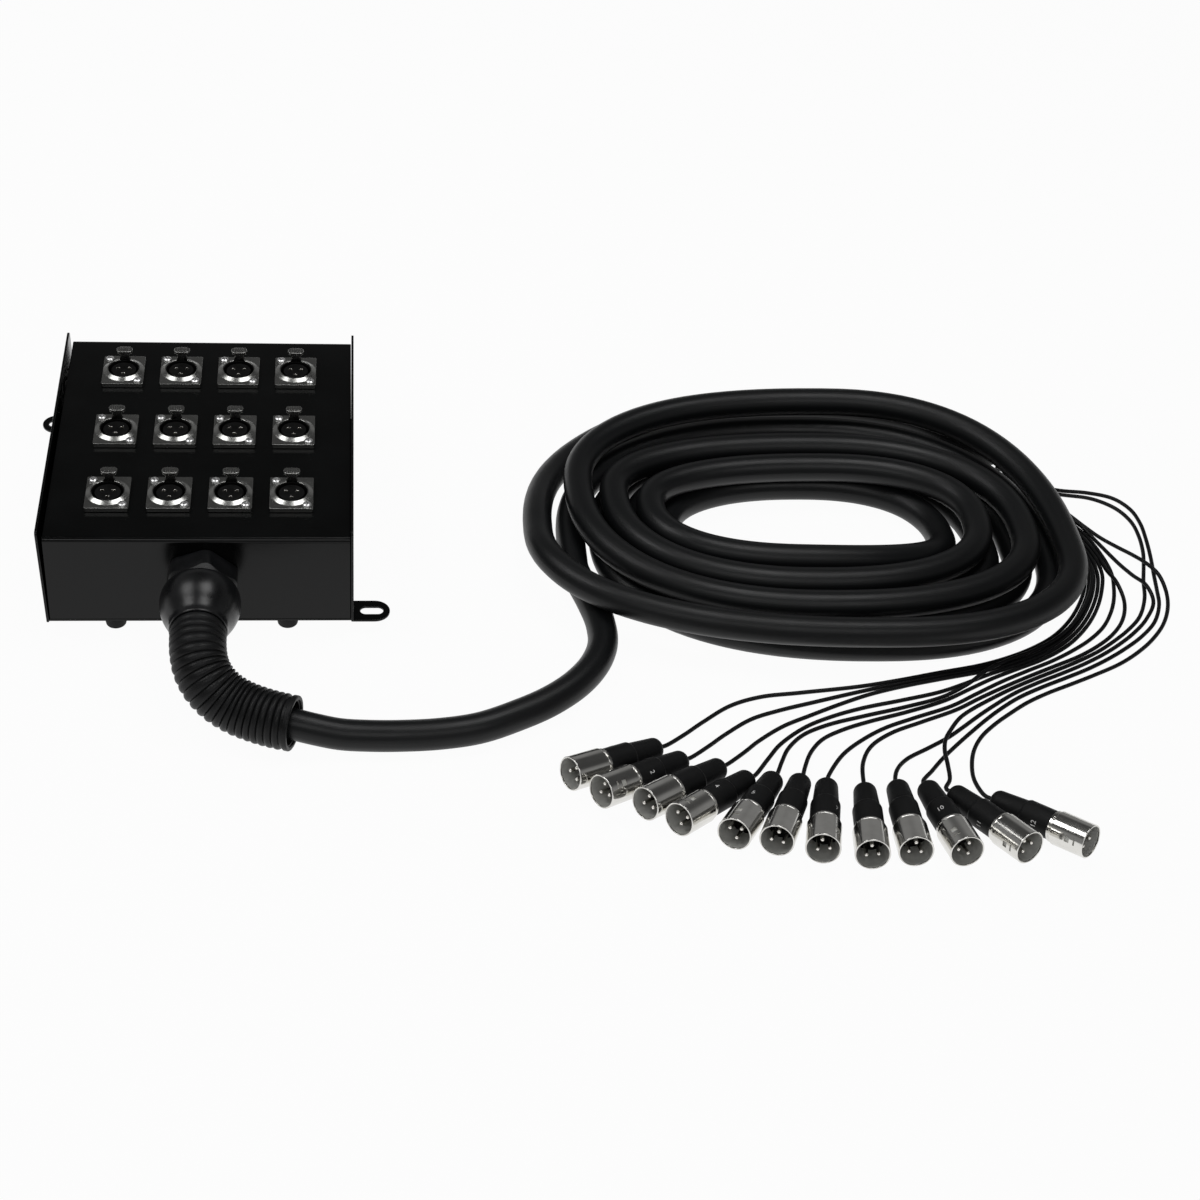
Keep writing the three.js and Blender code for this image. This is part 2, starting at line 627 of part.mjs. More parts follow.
// Tails, from the boot to inside the plug that each one carries; the last two points lie on the
// axis of the plug, the first of them at the mouth of its boot
const tailRoutes = [
  [
    [524.1, 55.6, 7.9], [527.7, 52.1, 7.9], [530.5, 35.6, 5], [540.8, 20.3, 1.6], [548.2, 1.6, 1.3],
    [554.7, -17.3, 1.3], [560.3, -34.9, 1.3], [561.2, -49.6, 1.3], [557.7, -65.7, 1.3],
    [549.9, -83.1, 1.3], [539.3, -99.5, 1.3], [525.8, -114, 1.3], [510, -125, 1.3],
    [492.5, -133.8, 1.3], [473.8, -140.7, 1.3], [447, -147.3, 1.3], [421, -154, 1.3],
    [396, -159.5, 1.3], [358, -165, 1.3], [334, -168.5, 1.3], [315, -176, 1.3], [296.7, -190.5, 1.6],
    [283.2, -204.7, 4.2], [271.8, -214.6, 5.4], [267.6, -217.2, 6.3], [250.7, -227.4, 9.8],
  ],
  [
    [526.3, 57.7, 4.9], [529.8, 54.2, 4.9], [532.7, 37.2, 3], [543.3, 21.4, 1.5], [550.7, 2.5, 1.3],
    [557.2, -16.4, 1.3], [563.1, -34.3, 1.3], [564, -49.9, 1.3], [560.2, -66.6, 1.3],
    [552.3, -84.4, 1.3], [541.6, -101.4, 1.3], [527.7, -116.2, 1.3], [511.3, -127.3, 1.3],
    [493.5, -136.3, 1.3], [474.6, -143.2, 1.3], [447, -150.2, 1.3], [421, -157, 1.3], [396, -164, 1.3],
    [364, -174, 1.3], [344, -180.5, 1.3], [326, -188, 1.3], [308.7, -201.4, 1.6], [297.1, -214.1, 4.2],
    [285.3, -224.9, 5.4], [281.2, -227.8, 6.3], [265.2, -239.2, 9.8],
  ],
  [
    [526.3, 57.7, 7.9], [529.8, 54.2, 7.9], [534.2, 38.3, 5.2], [545.8, 22.6, 1.6], [553.4, 3.5, 1.3],
    [559.9, -15.6, 1.3], [566.1, -33.7, 1.3], [567.1, -50.1, 1.3], [563, -67.4, 1.3],
    [554.9, -85.7, 1.3], [543.8, -102.9, 1.3], [529.5, -118.1, 1.3], [512.8, -129.8, 1.3],
    [494.5, -138.9, 1.3], [475.4, -146, 1.3], [447, -153.1, 1.3], [421, -160, 1.3], [400, -167, 1.3],
    [382, -175, 1.3], [362, -185, 1.3], [344, -194.5, 1.3], [327.6, -207.4, 1.6], [317.5, -219.4, 4.2],
    [305.9, -230.7, 5.4], [302.1, -233.9, 6.3], [287, -246.5, 9.8],
  ],
  [
    [528.4, 59.9, 4.9], [531.9, 56.3, 4.9], [536.4, 39.9, 3], [548.4, 23.7, 1.5], [556, 4.4, 1.3],
    [562.5, -14.7, 1.3], [568.8, -33.2, 1.3], [569.8, -50.4, 1.3], [565.6, -68.4, 1.3],
    [557.4, -87, 1.3], [546, -104.7, 1.3], [531.4, -120.2, 1.3], [514.1, -132.3, 1.3],
    [495.5, -141.5, 1.3], [477, -149.5, 1.3], [461, -157.5, 1.3], [444, -165, 1.3], [420, -172, 1.3],
    [394, -179, 1.3], [374, -186.5, 1.3], [357, -195.5, 1.3], [340.5, -209.9, 1.6],
    [330.4, -225.5, 4.2], [320.7, -240.2, 5.4], [317.1, -243.6, 6.3], [302.8, -257.1, 9.8],
  ],
  [
    [524.1, 55.6, 10.9], [527.7, 52.1, 10.9], [532.4, 37, 8], [544.5, 22, 4], [552, 3, 3.9],
    [558.5, -16, 3.9], [564.5, -34, 3.9], [565.5, -50, 3.9], [561.5, -67, 3.9], [553.5, -85, 3.9],
    [542.5, -102, 3.9], [528.5, -117, 3.9], [512, -128.5, 3.9], [494, -137.5, 3.9], [476.5, -148, 4.1],
    [462, -160, 3.2], [445, -169.5, 1.5], [421, -178, 1.3], [394, -186, 1.3], [371, -193.5, 1.3],
    [355, -202, 1.3], [344.5, -213.9, 2], [338.2, -227.9, 4.2], [333.8, -239.2, 5.4],
    [331.4, -243.5, 6.3], [321.8, -260.6, 9.8],
  ],
  [
    [526.3, 57.7, 10.9], [529.8, 54.2, 10.9], [535, 38.8, 8], [547, 23.1, 4], [557.2, 4.9, 3.9],
    [565.4, -13.8, 1.7], [571.5, -32.6, 1.3], [572.9, -50.8, 1.3], [568.2, -69.3, 1.3],
    [559.9, -88.5, 1.3], [548.3, -106.4, 1.3], [533.4, -122.4, 1.3], [515.6, -134.8, 1.3],
    [496.7, -144.2, 1.3], [479, -153, 1.3], [463, -162.5, 1.3], [446, -172.5, 1.3], [421, -182.5, 1.3],
    [396, -191, 1.3], [379, -198, 1.3], [366, -206, 1.4], [357.1, -217.9, 2.4], [351.5, -231.5, 4.2],
    [348.6, -240.6, 5.4], [346.8, -245.1, 6.3], [339.5, -263.5, 9.8],
  ],
  [
    [528.4, 59.9, 10.9], [531.9, 56.3, 10.9], [539.7, 42.2, 7], [553.9, 26.3, 1.6], [562.3, 6.8, 1.3],
    [571.4, -11.6, 1.3], [577, -31.5, 1.3], [579.2, -51.3, 1.3], [577.1, -66, 1.3], [573.7, -79, 1.3],
    [568.4, -91.7, 1.3], [560.4, -104.9, 1.3], [549.4, -116.5, 1.3], [535.8, -127, 1.3],
    [520, -137, 1.3], [502, -146.3, 1.3], [484, -156, 1.3], [466, -167, 1.3], [449, -177.5, 1.3],
    [424, -188, 1.3], [405, -196.5, 1.3], [389.3, -207.1, 1.5], [375.3, -220.7, 2.4],
    [362.2, -243.8, 5.4], [361.1, -248.6, 6.3], [357.1, -267.9, 9.8],
  ],
  [
    [528.4, 59.9, 7.9], [531.9, 56.3, 7.9], [538.1, 41.1, 5], [551.2, 25, 1.6], [559.3, 5.7, 1.3],
    [568.3, -12.6, 1.3], [574.3, -32.1, 1.3], [576, -50, 2.9], [578.5, -64, 4.8], [580.5, -77, 2],
    [578.5, -88.5, 1.3], [573, -101, 1.3], [564, -112.8, 1.3], [552.5, -123, 1.3], [538.5, -132.5, 1.3],
    [521.5, -141.3, 1.3], [503.5, -150.5, 1.3], [486, -160, 1.3], [468, -170.5, 1.3], [451, -181, 1.3],
    [428, -191.5, 1.3], [408, -201, 1.4], [393.8, -212.9, 2], [385.6, -230, 4.2], [383, -247.7, 5.4],
    [382.5, -252.6, 6.3], [380.2, -272.2, 9.8],
  ],
  [
    [526.3, 57.7, 13.9], [529.8, 54.2, 13.9], [536.6, 40, 10], [549.4, 24.3, 3.9], [560.5, 6.2, 3.9],
    [568.8, -2.5, 3.6], [575.5, -14, 1.6], [580.5, -26, 1.3], [587, -42, 1.3], [592.5, -54, 2],
    [597.6, -66.5, 4.2], [599.4, -80, 2], [590.5, -97, 1.3], [579.2, -110.2, 1.3], [567, -121.2, 1.3],
    [554, -131, 1.3], [539.2, -140.2, 1.3], [522.7, -149, 1.3], [505.7, -157.5, 1.3],
    [490, -166.5, 1.3], [475.5, -177, 1.3], [463, -187, 1.3], [452, -196.5, 1.3], [441, -205.5, 1.3],
    [428, -214, 1.3], [413.1, -223.8, 1.7], [404.9, -235.3, 4.2], [401.8, -245.4, 5.4],
    [401.7, -250.4, 6.3], [401.1, -270, 9.8],
  ],
  [
    [530.5, 62, 10.9], [534, 58.4, 10.9], [542.3, 44.1, 6.6], [552, 38.7, 3.7], [566, 37.2, 1.5],
    [584, 35, 1.3], [600, 29, 1.3], [609, 17, 1.3], [612, 2, 1.3], [611.5, -16, 1.3], [609.5, -36, 1.3],
    [607, -53, 1.3], [605, -68, 1.3], [602.5, -83, 1.3], [595, -100, 1.3], [583, -114, 1.3],
    [569.8, -125.3, 1.3], [556, -135.3, 1.3], [541, -144.5, 1.3], [524.5, -153, 1.3],
    [507.5, -161.5, 1.3], [492, -170.3, 1.3], [479, -180, 1.3], [468, -189.5, 1.3], [457, -200, 1.3],
    [446, -211, 1.3], [434.6, -223.3, 1.4], [425.8, -235.3, 3.2], [417.9, -246.7, 5.4],
    [418.6, -251.5, 6.3], [421.6, -271, 9.8],
  ],
  [
    [530.5, 62, 7.9], [534, 58.4, 7.9], [540.5, 42.8, 4.4], [550, 36, 2.2], [565, 33, 1.3],
    [585, 28.5, 1.3], [599, 18, 1.3], [606, 4, 1.3], [607.5, -11, 1.3], [606, -29, 1.3],
    [602.5, -44, 1.3], [598.5, -59, 1.3], [594.5, -77, 1.3], [586.5, -95, 1.3], [576, -107.5, 1.3],
    [564.5, -118, 1.3], [552, -127.8, 1.3], [537.5, -136.8, 1.3], [521, -145.5, 1.3],
    [504, -154.2, 1.3], [488, -163, 1.3], [472, -173, 1.3], [459, -182.5, 2], [450.5, -191.5, 4],
    [444, -200.5, 4.3], [438.5, -210, 4.3], [436, -220, 4.5], [435.5, -231.3, 4.6],
    [434.4, -243.8, 4.2], [430.3, -252.4, 5.4], [432.7, -256.7, 6.3], [442.4, -273.8, 9.8],
  ],
  [
    [528.4, 59.9, 13.9], [531.9, 56.3, 13.9], [538.9, 41.6, 9.8], [551.9, 25.4, 4], [564, 7.5, 4],
    [572.5, -3, 2.2], [581, -14, 1.3], [590, -24, 1.4], [597.5, -34, 2.8], [603.5, -44.5, 4.4],
    [608.5, -55.5, 4.4], [610.5, -68, 2], [608, -84, 1.3], [600.5, -101.5, 1.3], [589.5, -116.5, 1.3],
    [577, -128.8, 1.3], [562.5, -139.8, 1.3], [544, -150, 1.3], [527, -158.5, 1.3], [510, -166.8, 1.3],
    [496, -175, 1.3], [484, -184, 1.3], [472, -194, 1.3], [461.5, -205, 1.3], [454.5, -217, 1.3],
    [450.4, -231.3, 2], [448.9, -245.8, 4.2], [452, -258.7, 5.4], [455.4, -262.3, 6.3],
    [469.1, -276.5, 9.8],
  ],
];

// Cable plug along +Z: end of the boot at zero, its collar, then the metal shell with its open mouth
function makePlug() {
  const join = plugBootLength;
  const mouth = join + plugShellLength;
  const collar = join - plugCollarLength;
  const profile = [
    [0, 0], [plugBootTip / 2 - plugBootRound, 0], [plugBootTip / 2, plugBootRound], [plugBoot / 2, collar],
    [plugCollar / 2, collar], [plugCollar / 2, join], [plugShell / 2, join], [plugShell / 2, mouth],
    [0, mouth],
  ];
  let plug = solid(turned(profile, plugSides));
  plug = plug.subtract(solid(rod(plugCavity, mouth - plugCavityDepth, mouth + overrun, plugSides)));
  for (const turn of [0, 2 * Math.PI / 3, 4 * Math.PI / 3]) {
    const x = contactCircle / 2 * Math.sin(turn);
    const y = contactCircle / 2 * Math.cos(turn);
    const floor = mouth - plugCavityDepth;
    const pin = rod(pinDiameter, floor - overrun, floor + pinLength, holeSides).translate(x, y, 0);
    plug = plug.add(solid(pin));
  }
  return surface(plug.subtract(solid(rod(tailSleeve, -overrun, tailSleeveDepth, hexSides))));
}

add('base_tray', makeTray(), paint);
add('top_cover', makeCover(), paint);
const footX = trayWidth / 2 - footInsetX;
const footY = coverDepth / 2 - footInsetY;
add('foot_front_left', skin(makeFoot()), rubber, [-footX, -footY, 0]);
add('foot_front_right', skin(makeFoot()), rubber, [footX, -footY, 0]);
add('foot_rear_left', skin(makeFoot()), rubber, [-footX, footY, 0]);
add('foot_rear_right', skin(makeFoot()), rubber, [footX, footY, 0]);

socketPlaces.forEach(([x, y], i) => {
  add(`socket_${label(i + 1)}`, makeSocket(), nickel, [x, y, coverTop + meet]);
  add(`latch_${label(i + 1)}`, makeTab(), tabMetal, [x, y, coverTop + meet]);
});

add('gland_body', makeGlandBody(), plastic);
add('gland_nut', skin(makeGlandNut()), plastic);
add('corrugated_hose', ribbedHose(), plastic);
add('trunk_lead', skin(tube(trunkRoute, trunk, trunkSides, trunkSteps)), jacket);
add('trunk_coil', wound(coilLine(coilSteps), trunk, coilSides), jacket);

const heading = coilHeading();
const bootStart = coilPoint(coilEnd).addScaledVector(heading, trunk + meet);
const boot = add('breakout_boot', skin(makeBoot()), rubber, bootStart.toArray());
boot.quaternion.setFromUnitVectors(new THREE.Vector3(0, 0, 1), heading);

tailRoutes.forEach((route, i) => {
  add(`tail_${label(i + 1)}`, skin(tube(route, tail, tailSides, tailSteps)), jacket);
  const inside = new THREE.Vector3(...route[route.length - 1]);
  const tip = new THREE.Vector3(...route[route.length - 2]);
  const plug = add(`plug_${label(i + 1)}`, makePlug(), nickel, tip.toArray());
  plug.quaternion.setFromUnitVectors(new THREE.Vector3(0, 0, 1), inside.sub(tip).normalize());
});

export default snake;
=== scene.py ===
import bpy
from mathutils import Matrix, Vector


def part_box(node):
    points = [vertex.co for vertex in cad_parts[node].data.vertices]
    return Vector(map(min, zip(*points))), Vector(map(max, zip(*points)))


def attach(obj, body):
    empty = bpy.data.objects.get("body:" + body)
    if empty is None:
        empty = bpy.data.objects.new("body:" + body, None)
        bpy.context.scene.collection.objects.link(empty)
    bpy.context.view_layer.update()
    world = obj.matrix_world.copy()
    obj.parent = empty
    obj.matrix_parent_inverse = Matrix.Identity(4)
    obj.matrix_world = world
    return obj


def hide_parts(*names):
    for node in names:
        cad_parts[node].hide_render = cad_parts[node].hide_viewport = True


bl_info = {
    "name": "Stage Box Snake",
    "version": (1, 0, 0),
    "blender": (4, 5, 0),
    "location": "View3D > Sidebar > Snake",
    "description": "Builds a steel stage box with its sockets, coiled trunk cable, tails and cable plugs",
    "category": "Object",
}

from math import acos, atan2, cos, pi, radians, sin, tan

import bmesh
import bpy
from bpy.props import FloatProperty, FloatVectorProperty, IntProperty, PointerProperty
from bpy.types import Operator, Panel, PropertyGroup
from mathutils import Matrix, Vector

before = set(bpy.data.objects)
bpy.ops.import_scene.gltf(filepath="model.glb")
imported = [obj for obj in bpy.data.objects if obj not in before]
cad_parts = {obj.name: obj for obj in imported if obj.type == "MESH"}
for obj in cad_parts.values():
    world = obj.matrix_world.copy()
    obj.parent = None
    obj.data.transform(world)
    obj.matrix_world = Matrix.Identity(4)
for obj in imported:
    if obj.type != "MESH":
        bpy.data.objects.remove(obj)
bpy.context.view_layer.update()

MM = 0.001
TAU = 2 * pi
NUMBERS = [f"{k:02d}" for k in range(1, 13)]

# Camera, found by fitting the corners of the socket flanges: metres, radians and millimetres
CAMERA_PLACE = (0.09336, -1.21534, 0.94677)
CAMERA_AZIMUTH = 0.132
CAMERA_DIP = 0.689
CAMERA_ROLL = 0.083
CAMERA_LENS = 71.45
CAMERA_SENSOR = 36
CAMERA_CLIP = (0.01, 100)

# Turns a plate drawn as depth and height upright, with its thickness along X
UPRIGHT = Matrix(((0, 0, 1), (1, 0, 0), (0, 1, 0))).to_4x4()
# Turns what is made along +Z so that it points to the front
TO_FRONT = Matrix.Rotation(pi / 2, 4, "X")

# Points along the trunk from the gland to the coil, in millimetres
TRUNK_ROUTE = [
    (2, -92, 41.5), (2, -105, 41.5), (2, -120, 41.5), (2, -135, 41.5), (2, -150, 41.5), (2.1, -158.9, 41.5),
    (2.7, -170, 39.5), (4.7, -178.5, 34.9), (9.3, -185.5, 29.4), (16.3, -190.2, 23.5), (25.4, -194.3, 18.9),
    (36, -198.3, 16.9), (47, -202.4, 16.1), (58, -205.6, 15.6), (69.4, -207.6, 13.6), (83.7, -208.6, 10.6),
    (100.8, -209, 9.5), (118, -209.1, 9.4), (141, -207.6, 9.4), (164.2, -202.8, 9.4), (188, -191.5, 9.4),
    (206.5, -180, 9.4), (223.5, -164.5, 9.4), (235.2, -147.5, 9.4), (241.5, -129, 9.4),
    (241.5, -108.5, 9.4), (237.5, -88.5, 9.4), (232.4, -70, 9.4), (229.3, -57, 9.4), (229, -46.8, 9.4),
]
HOSE_ROUTE = [
    (2, -154.7, 41.5), (2.1, -158.9, 41.5), (2.7, -170, 39.5), (4.7, -178.5, 34.9), (9.3, -185.5, 29.5),
    (16.3, -190.2, 23.7), (25.4, -194.3, 19.4), (36, -198.6, 17.4), (47, -202.8, 16.8), (58, -206.3, 16.8),
]

# The coil's furthest left, back, right and front places on each turn, in millimetres
COIL_PLACES = [
    (229, -28), (392, 94), (536, -46), (412, -132),
    (249.5, -27), (390, 73), (515.5, -44), (403, -111),
    (270, -26), (388, 52), (495, -42), (394, -90.3),
    (291, -22), (386, 31), (469, -28), (378, -70),
    (280, -16), (396, 26), (489, -32), (380, -93),
    (257.5, -4), (394, 49), (518, -42), (384, -115),
    (235, 4), (408, 97), (544, -60), (414, -141),
    (207, -37), (392, 122), (500, 70),
]
# The layer that the coil lies on, after so many quarter turns
COIL_LEVELS = [
    (0, 0), (13.7, 0), (15.1, 1), (24, 1), (24.7, 1.15), (25.3, 1.15), (26.1, 1), (27.75, 1), (28.5, 0),
    (30, 0),
]
# The quarter turns of the whole coil, and the points drawn in each
COIL_END = 29.7
COIL_STEPS = 24

# Points along each tail, in millimetres; the last two lie on the axis of its plug, the first of
# them at the tip of the plug's boot
TAIL_ROUTES = [
    [
        (524.1, 55.6, 7.9), (527.7, 52.1, 7.9), (530.5, 35.6, 5), (540.8, 20.3, 1.6), (548.2, 1.6, 1.3),
        (554.7, -17.3, 1.3), (560.3, -34.9, 1.3), (561.2, -49.6, 1.3), (557.7, -65.7, 1.3),
        (549.9, -83.1, 1.3), (539.3, -99.5, 1.3), (525.8, -114, 1.3), (510, -125, 1.3),
        (492.5, -133.8, 1.3), (473.8, -140.7, 1.3), (447, -147.3, 1.3), (421, -154, 1.3),
        (396, -159.5, 1.3), (358, -165, 1.3), (334, -168.5, 1.3), (315, -176, 1.3), (296.7, -190.5, 1.6),
        (283.2, -204.7, 4.2), (271.8, -214.6, 5.4), (267.6, -217.2, 6.3), (250.7, -227.4, 9.8),
    ],
    [
        (526.3, 57.7, 4.9), (529.8, 54.2, 4.9), (532.7, 37.2, 3), (543.3, 21.4, 1.5), (550.7, 2.5, 1.3),
        (557.2, -16.4, 1.3), (563.1, -34.3, 1.3), (564, -49.9, 1.3), (560.2, -66.6, 1.3),
        (552.3, -84.4, 1.3), (541.6, -101.4, 1.3), (527.7, -116.2, 1.3), (511.3, -127.3, 1.3),
        (493.5, -136.3, 1.3), (474.6, -143.2, 1.3), (447, -150.2, 1.3), (421, -157, 1.3),
        (396, -164, 1.3), (364, -174, 1.3), (344, -180.5, 1.3), (326, -188, 1.3), (308.7, -201.4, 1.6),
        (297.1, -214.1, 4.2), (285.3, -224.9, 5.4), (281.2, -227.8, 6.3), (265.2, -239.2, 9.8),
    ],
    [
        (526.3, 57.7, 7.9), (529.8, 54.2, 7.9), (534.2, 38.3, 5.2), (545.8, 22.6, 1.6),
        (553.4, 3.5, 1.3), (559.9, -15.6, 1.3), (566.1, -33.7, 1.3), (567.1, -50.1, 1.3),
        (563, -67.4, 1.3), (554.9, -85.7, 1.3), (543.8, -102.9, 1.3), (529.5, -118.1, 1.3),
        (512.8, -129.8, 1.3), (494.5, -138.9, 1.3), (475.4, -146, 1.3), (447, -153.1, 1.3),
        (421, -160, 1.3), (400, -167, 1.3), (382, -175, 1.3), (362, -185, 1.3), (344, -194.5, 1.3),
        (327.6, -207.4, 1.6), (317.5, -219.4, 4.2), (305.9, -230.7, 5.4), (302.1, -233.9, 6.3),
        (287, -246.5, 9.8),
    ],
    [
        (528.4, 59.9, 4.9), (531.9, 56.3, 4.9), (536.4, 39.9, 3), (548.4, 23.7, 1.5), (556, 4.4, 1.3),
        (562.5, -14.7, 1.3), (568.8, -33.2, 1.3), (569.8, -50.4, 1.3), (565.6, -68.4, 1.3),
        (557.4, -87, 1.3), (546, -104.7, 1.3), (531.4, -120.2, 1.3), (514.1, -132.3, 1.3),
        (495.5, -141.5, 1.3), (477, -149.5, 1.3), (461, -157.5, 1.3), (444, -165, 1.3), (420, -172, 1.3),
        (394, -179, 1.3), (374, -186.5, 1.3), (357, -195.5, 1.3), (340.5, -209.9, 1.6),
        (330.4, -225.5, 4.2), (320.7, -240.2, 5.4), (317.1, -243.6, 6.3), (302.8, -257.1, 9.8),
    ],
    [
        (524.1, 55.6, 10.9), (527.7, 52.1, 10.9), (532.4, 37, 8), (544.5, 22, 4), (552, 3, 3.9),
        (558.5, -16, 3.9), (564.5, -34, 3.9), (565.5, -50, 3.9), (561.5, -67, 3.9), (553.5, -85, 3.9),
        (542.5, -102, 3.9), (528.5, -117, 3.9), (512, -128.5, 3.9), (494, -137.5, 3.9),
        (476.5, -148, 4.1), (462, -160, 3.2), (445, -169.5, 1.5), (421, -178, 1.3), (394, -186, 1.3),
        (371, -193.5, 1.3), (355, -202, 1.3), (344.5, -213.9, 2), (338.2, -227.9, 4.2),
        (333.8, -239.2, 5.4), (331.4, -243.5, 6.3), (321.8, -260.6, 9.8),
    ],
    [
        (526.3, 57.7, 10.9), (529.8, 54.2, 10.9), (535, 38.8, 8), (547, 23.1, 4), (557.2, 4.9, 3.9),
        (565.4, -13.8, 1.7), (571.5, -32.6, 1.3), (572.9, -50.8, 1.3), (568.2, -69.3, 1.3),
        (559.9, -88.5, 1.3), (548.3, -106.4, 1.3), (533.4, -122.4, 1.3), (515.6, -134.8, 1.3),
        (496.7, -144.2, 1.3), (479, -153, 1.3), (463, -162.5, 1.3), (446, -172.5, 1.3),
        (421, -182.5, 1.3), (396, -191, 1.3), (379, -198, 1.3), (366, -206, 1.4), (357.1, -217.9, 2.4),
        (351.5, -231.5, 4.2), (348.6, -240.6, 5.4), (346.8, -245.1, 6.3), (339.5, -263.5, 9.8),
    ],
    [
        (528.4, 59.9, 10.9), (531.9, 56.3, 10.9), (539.7, 42.2, 7), (553.9, 26.3, 1.6),
        (562.3, 6.8, 1.3), (571.4, -11.6, 1.3), (577, -31.5, 1.3), (579.2, -51.3, 1.3),
        (577.1, -66, 1.3), (573.7, -79, 1.3), (568.4, -91.7, 1.3), (560.4, -104.9, 1.3),
        (549.4, -116.5, 1.3), (535.8, -127, 1.3), (520, -137, 1.3), (502, -146.3, 1.3), (484, -156, 1.3),
        (466, -167, 1.3), (449, -177.5, 1.3), (424, -188, 1.3), (405, -196.5, 1.3), (389.3, -207.1, 1.5),
        (375.3, -220.7, 2.4), (362.2, -243.8, 5.4), (361.1, -248.6, 6.3), (357.1, -267.9, 9.8),
    ],
    [
        (528.4, 59.9, 7.9), (531.9, 56.3, 7.9), (538.1, 41.1, 5), (551.2, 25, 1.6), (559.3, 5.7, 1.3),
        (568.3, -12.6, 1.3), (574.3, -32.1, 1.3), (576, -50, 2.9), (578.5, -64, 4.8), (580.5, -77, 2),
        (578.5, -88.5, 1.3), (573, -101, 1.3), (564, -112.8, 1.3), (552.5, -123, 1.3),
        (538.5, -132.5, 1.3), (521.5, -141.3, 1.3), (503.5, -150.5, 1.3), (486, -160, 1.3),
        (468, -170.5, 1.3), (451, -181, 1.3), (428, -191.5, 1.3), (408, -201, 1.4), (393.8, -212.9, 2),
        (385.6, -230, 4.2), (383, -247.7, 5.4), (382.5, -252.6, 6.3), (380.2, -272.2, 9.8),
    ],
    [
        (526.3, 57.7, 13.9), (529.8, 54.2, 13.9), (536.6, 40, 10), (549.4, 24.3, 3.9), (560.5, 6.2, 3.9),
        (568.8, -2.5, 3.6), (575.5, -14, 1.6), (580.5, -26, 1.3), (587, -42, 1.3), (592.5, -54, 2),
        (597.6, -66.5, 4.2), (599.4, -80, 2), (590.5, -97, 1.3), (579.2, -110.2, 1.3),
        (567, -121.2, 1.3), (554, -131, 1.3), (539.2, -140.2, 1.3), (522.7, -149, 1.3),
        (505.7, -157.5, 1.3), (490, -166.5, 1.3), (475.5, -177, 1.3), (463, -187, 1.3),
        (452, -196.5, 1.3), (441, -205.5, 1.3), (428, -214, 1.3), (413.1, -223.8, 1.7),
        (404.9, -235.3, 4.2), (401.8, -245.4, 5.4), (401.7, -250.4, 6.3), (401.1, -270, 9.8),
    ],
    [
        (530.5, 62, 10.9), (534, 58.4, 10.9), (542.3, 44.1, 6.6), (552, 38.7, 3.7), (566, 37.2, 1.5),
        (584, 35, 1.3), (600, 29, 1.3), (609, 17, 1.3), (612, 2, 1.3), (611.5, -16, 1.3),
        (609.5, -36, 1.3), (607, -53, 1.3), (605, -68, 1.3), (602.5, -83, 1.3), (595, -100, 1.3),
        (583, -114, 1.3), (569.8, -125.3, 1.3), (556, -135.3, 1.3), (541, -144.5, 1.3),
        (524.5, -153, 1.3), (507.5, -161.5, 1.3), (492, -170.3, 1.3), (479, -180, 1.3),
        (468, -189.5, 1.3), (457, -200, 1.3), (446, -211, 1.3), (434.6, -223.3, 1.4),
        (425.8, -235.3, 3.2), (417.9, -246.7, 5.4), (418.6, -251.5, 6.3), (421.6, -271, 9.8),
    ],
    [
        (530.5, 62, 7.9), (534, 58.4, 7.9), (540.5, 42.8, 4.4), (550, 36, 2.2), (565, 33, 1.3),
        (585, 28.5, 1.3), (599, 18, 1.3), (606, 4, 1.3), (607.5, -11, 1.3), (606, -29, 1.3),
        (602.5, -44, 1.3), (598.5, -59, 1.3), (594.5, -77, 1.3), (586.5, -95, 1.3), (576, -107.5, 1.3),
        (564.5, -118, 1.3), (552, -127.8, 1.3), (537.5, -136.8, 1.3), (521, -145.5, 1.3),
        (504, -154.2, 1.3), (488, -163, 1.3), (472, -173, 1.3), (459, -182.5, 2), (450.5, -191.5, 4),
        (444, -200.5, 4.3), (438.5, -210, 4.3), (436, -220, 4.5), (435.5, -231.3, 4.6),
        (434.4, -243.8, 4.2), (430.3, -252.4, 5.4), (432.7, -256.7, 6.3), (442.4, -273.8, 9.8),
    ],
    [
        (528.4, 59.9, 13.9), (531.9, 56.3, 13.9), (538.9, 41.6, 9.8), (551.9, 25.4, 4), (564, 7.5, 4),
        (572.5, -3, 2.2), (581, -14, 1.3), (590, -24, 1.4), (597.5, -34, 2.8), (603.5, -44.5, 4.4),
        (608.5, -55.5, 4.4), (610.5, -68, 2), (608, -84, 1.3), (600.5, -101.5, 1.3),
        (589.5, -116.5, 1.3), (577, -128.8, 1.3), (562.5, -139.8, 1.3), (544, -150, 1.3),
        (527, -158.5, 1.3), (510, -166.8, 1.3), (496, -175, 1.3), (484, -184, 1.3), (472, -194, 1.3),
        (461.5, -205, 1.3), (454.5, -217, 1.3), (450.4, -231.3, 2), (448.9, -245.8, 4.2),
        (452, -258.7, 5.4), (455.4, -262.3, 6.3), (469.1, -276.5, 9.8),
    ],
]
# How far each plug is rolled about its own axis, in degrees, from its latch window at the top
PLUG_ROLLS = [50, -40, 190, 5, 15, 180, -45, 190, 180, 30, 85, 72]


def millimetres(points):
    return [Vector(p) * MM for p in points]


# Lines and outlines


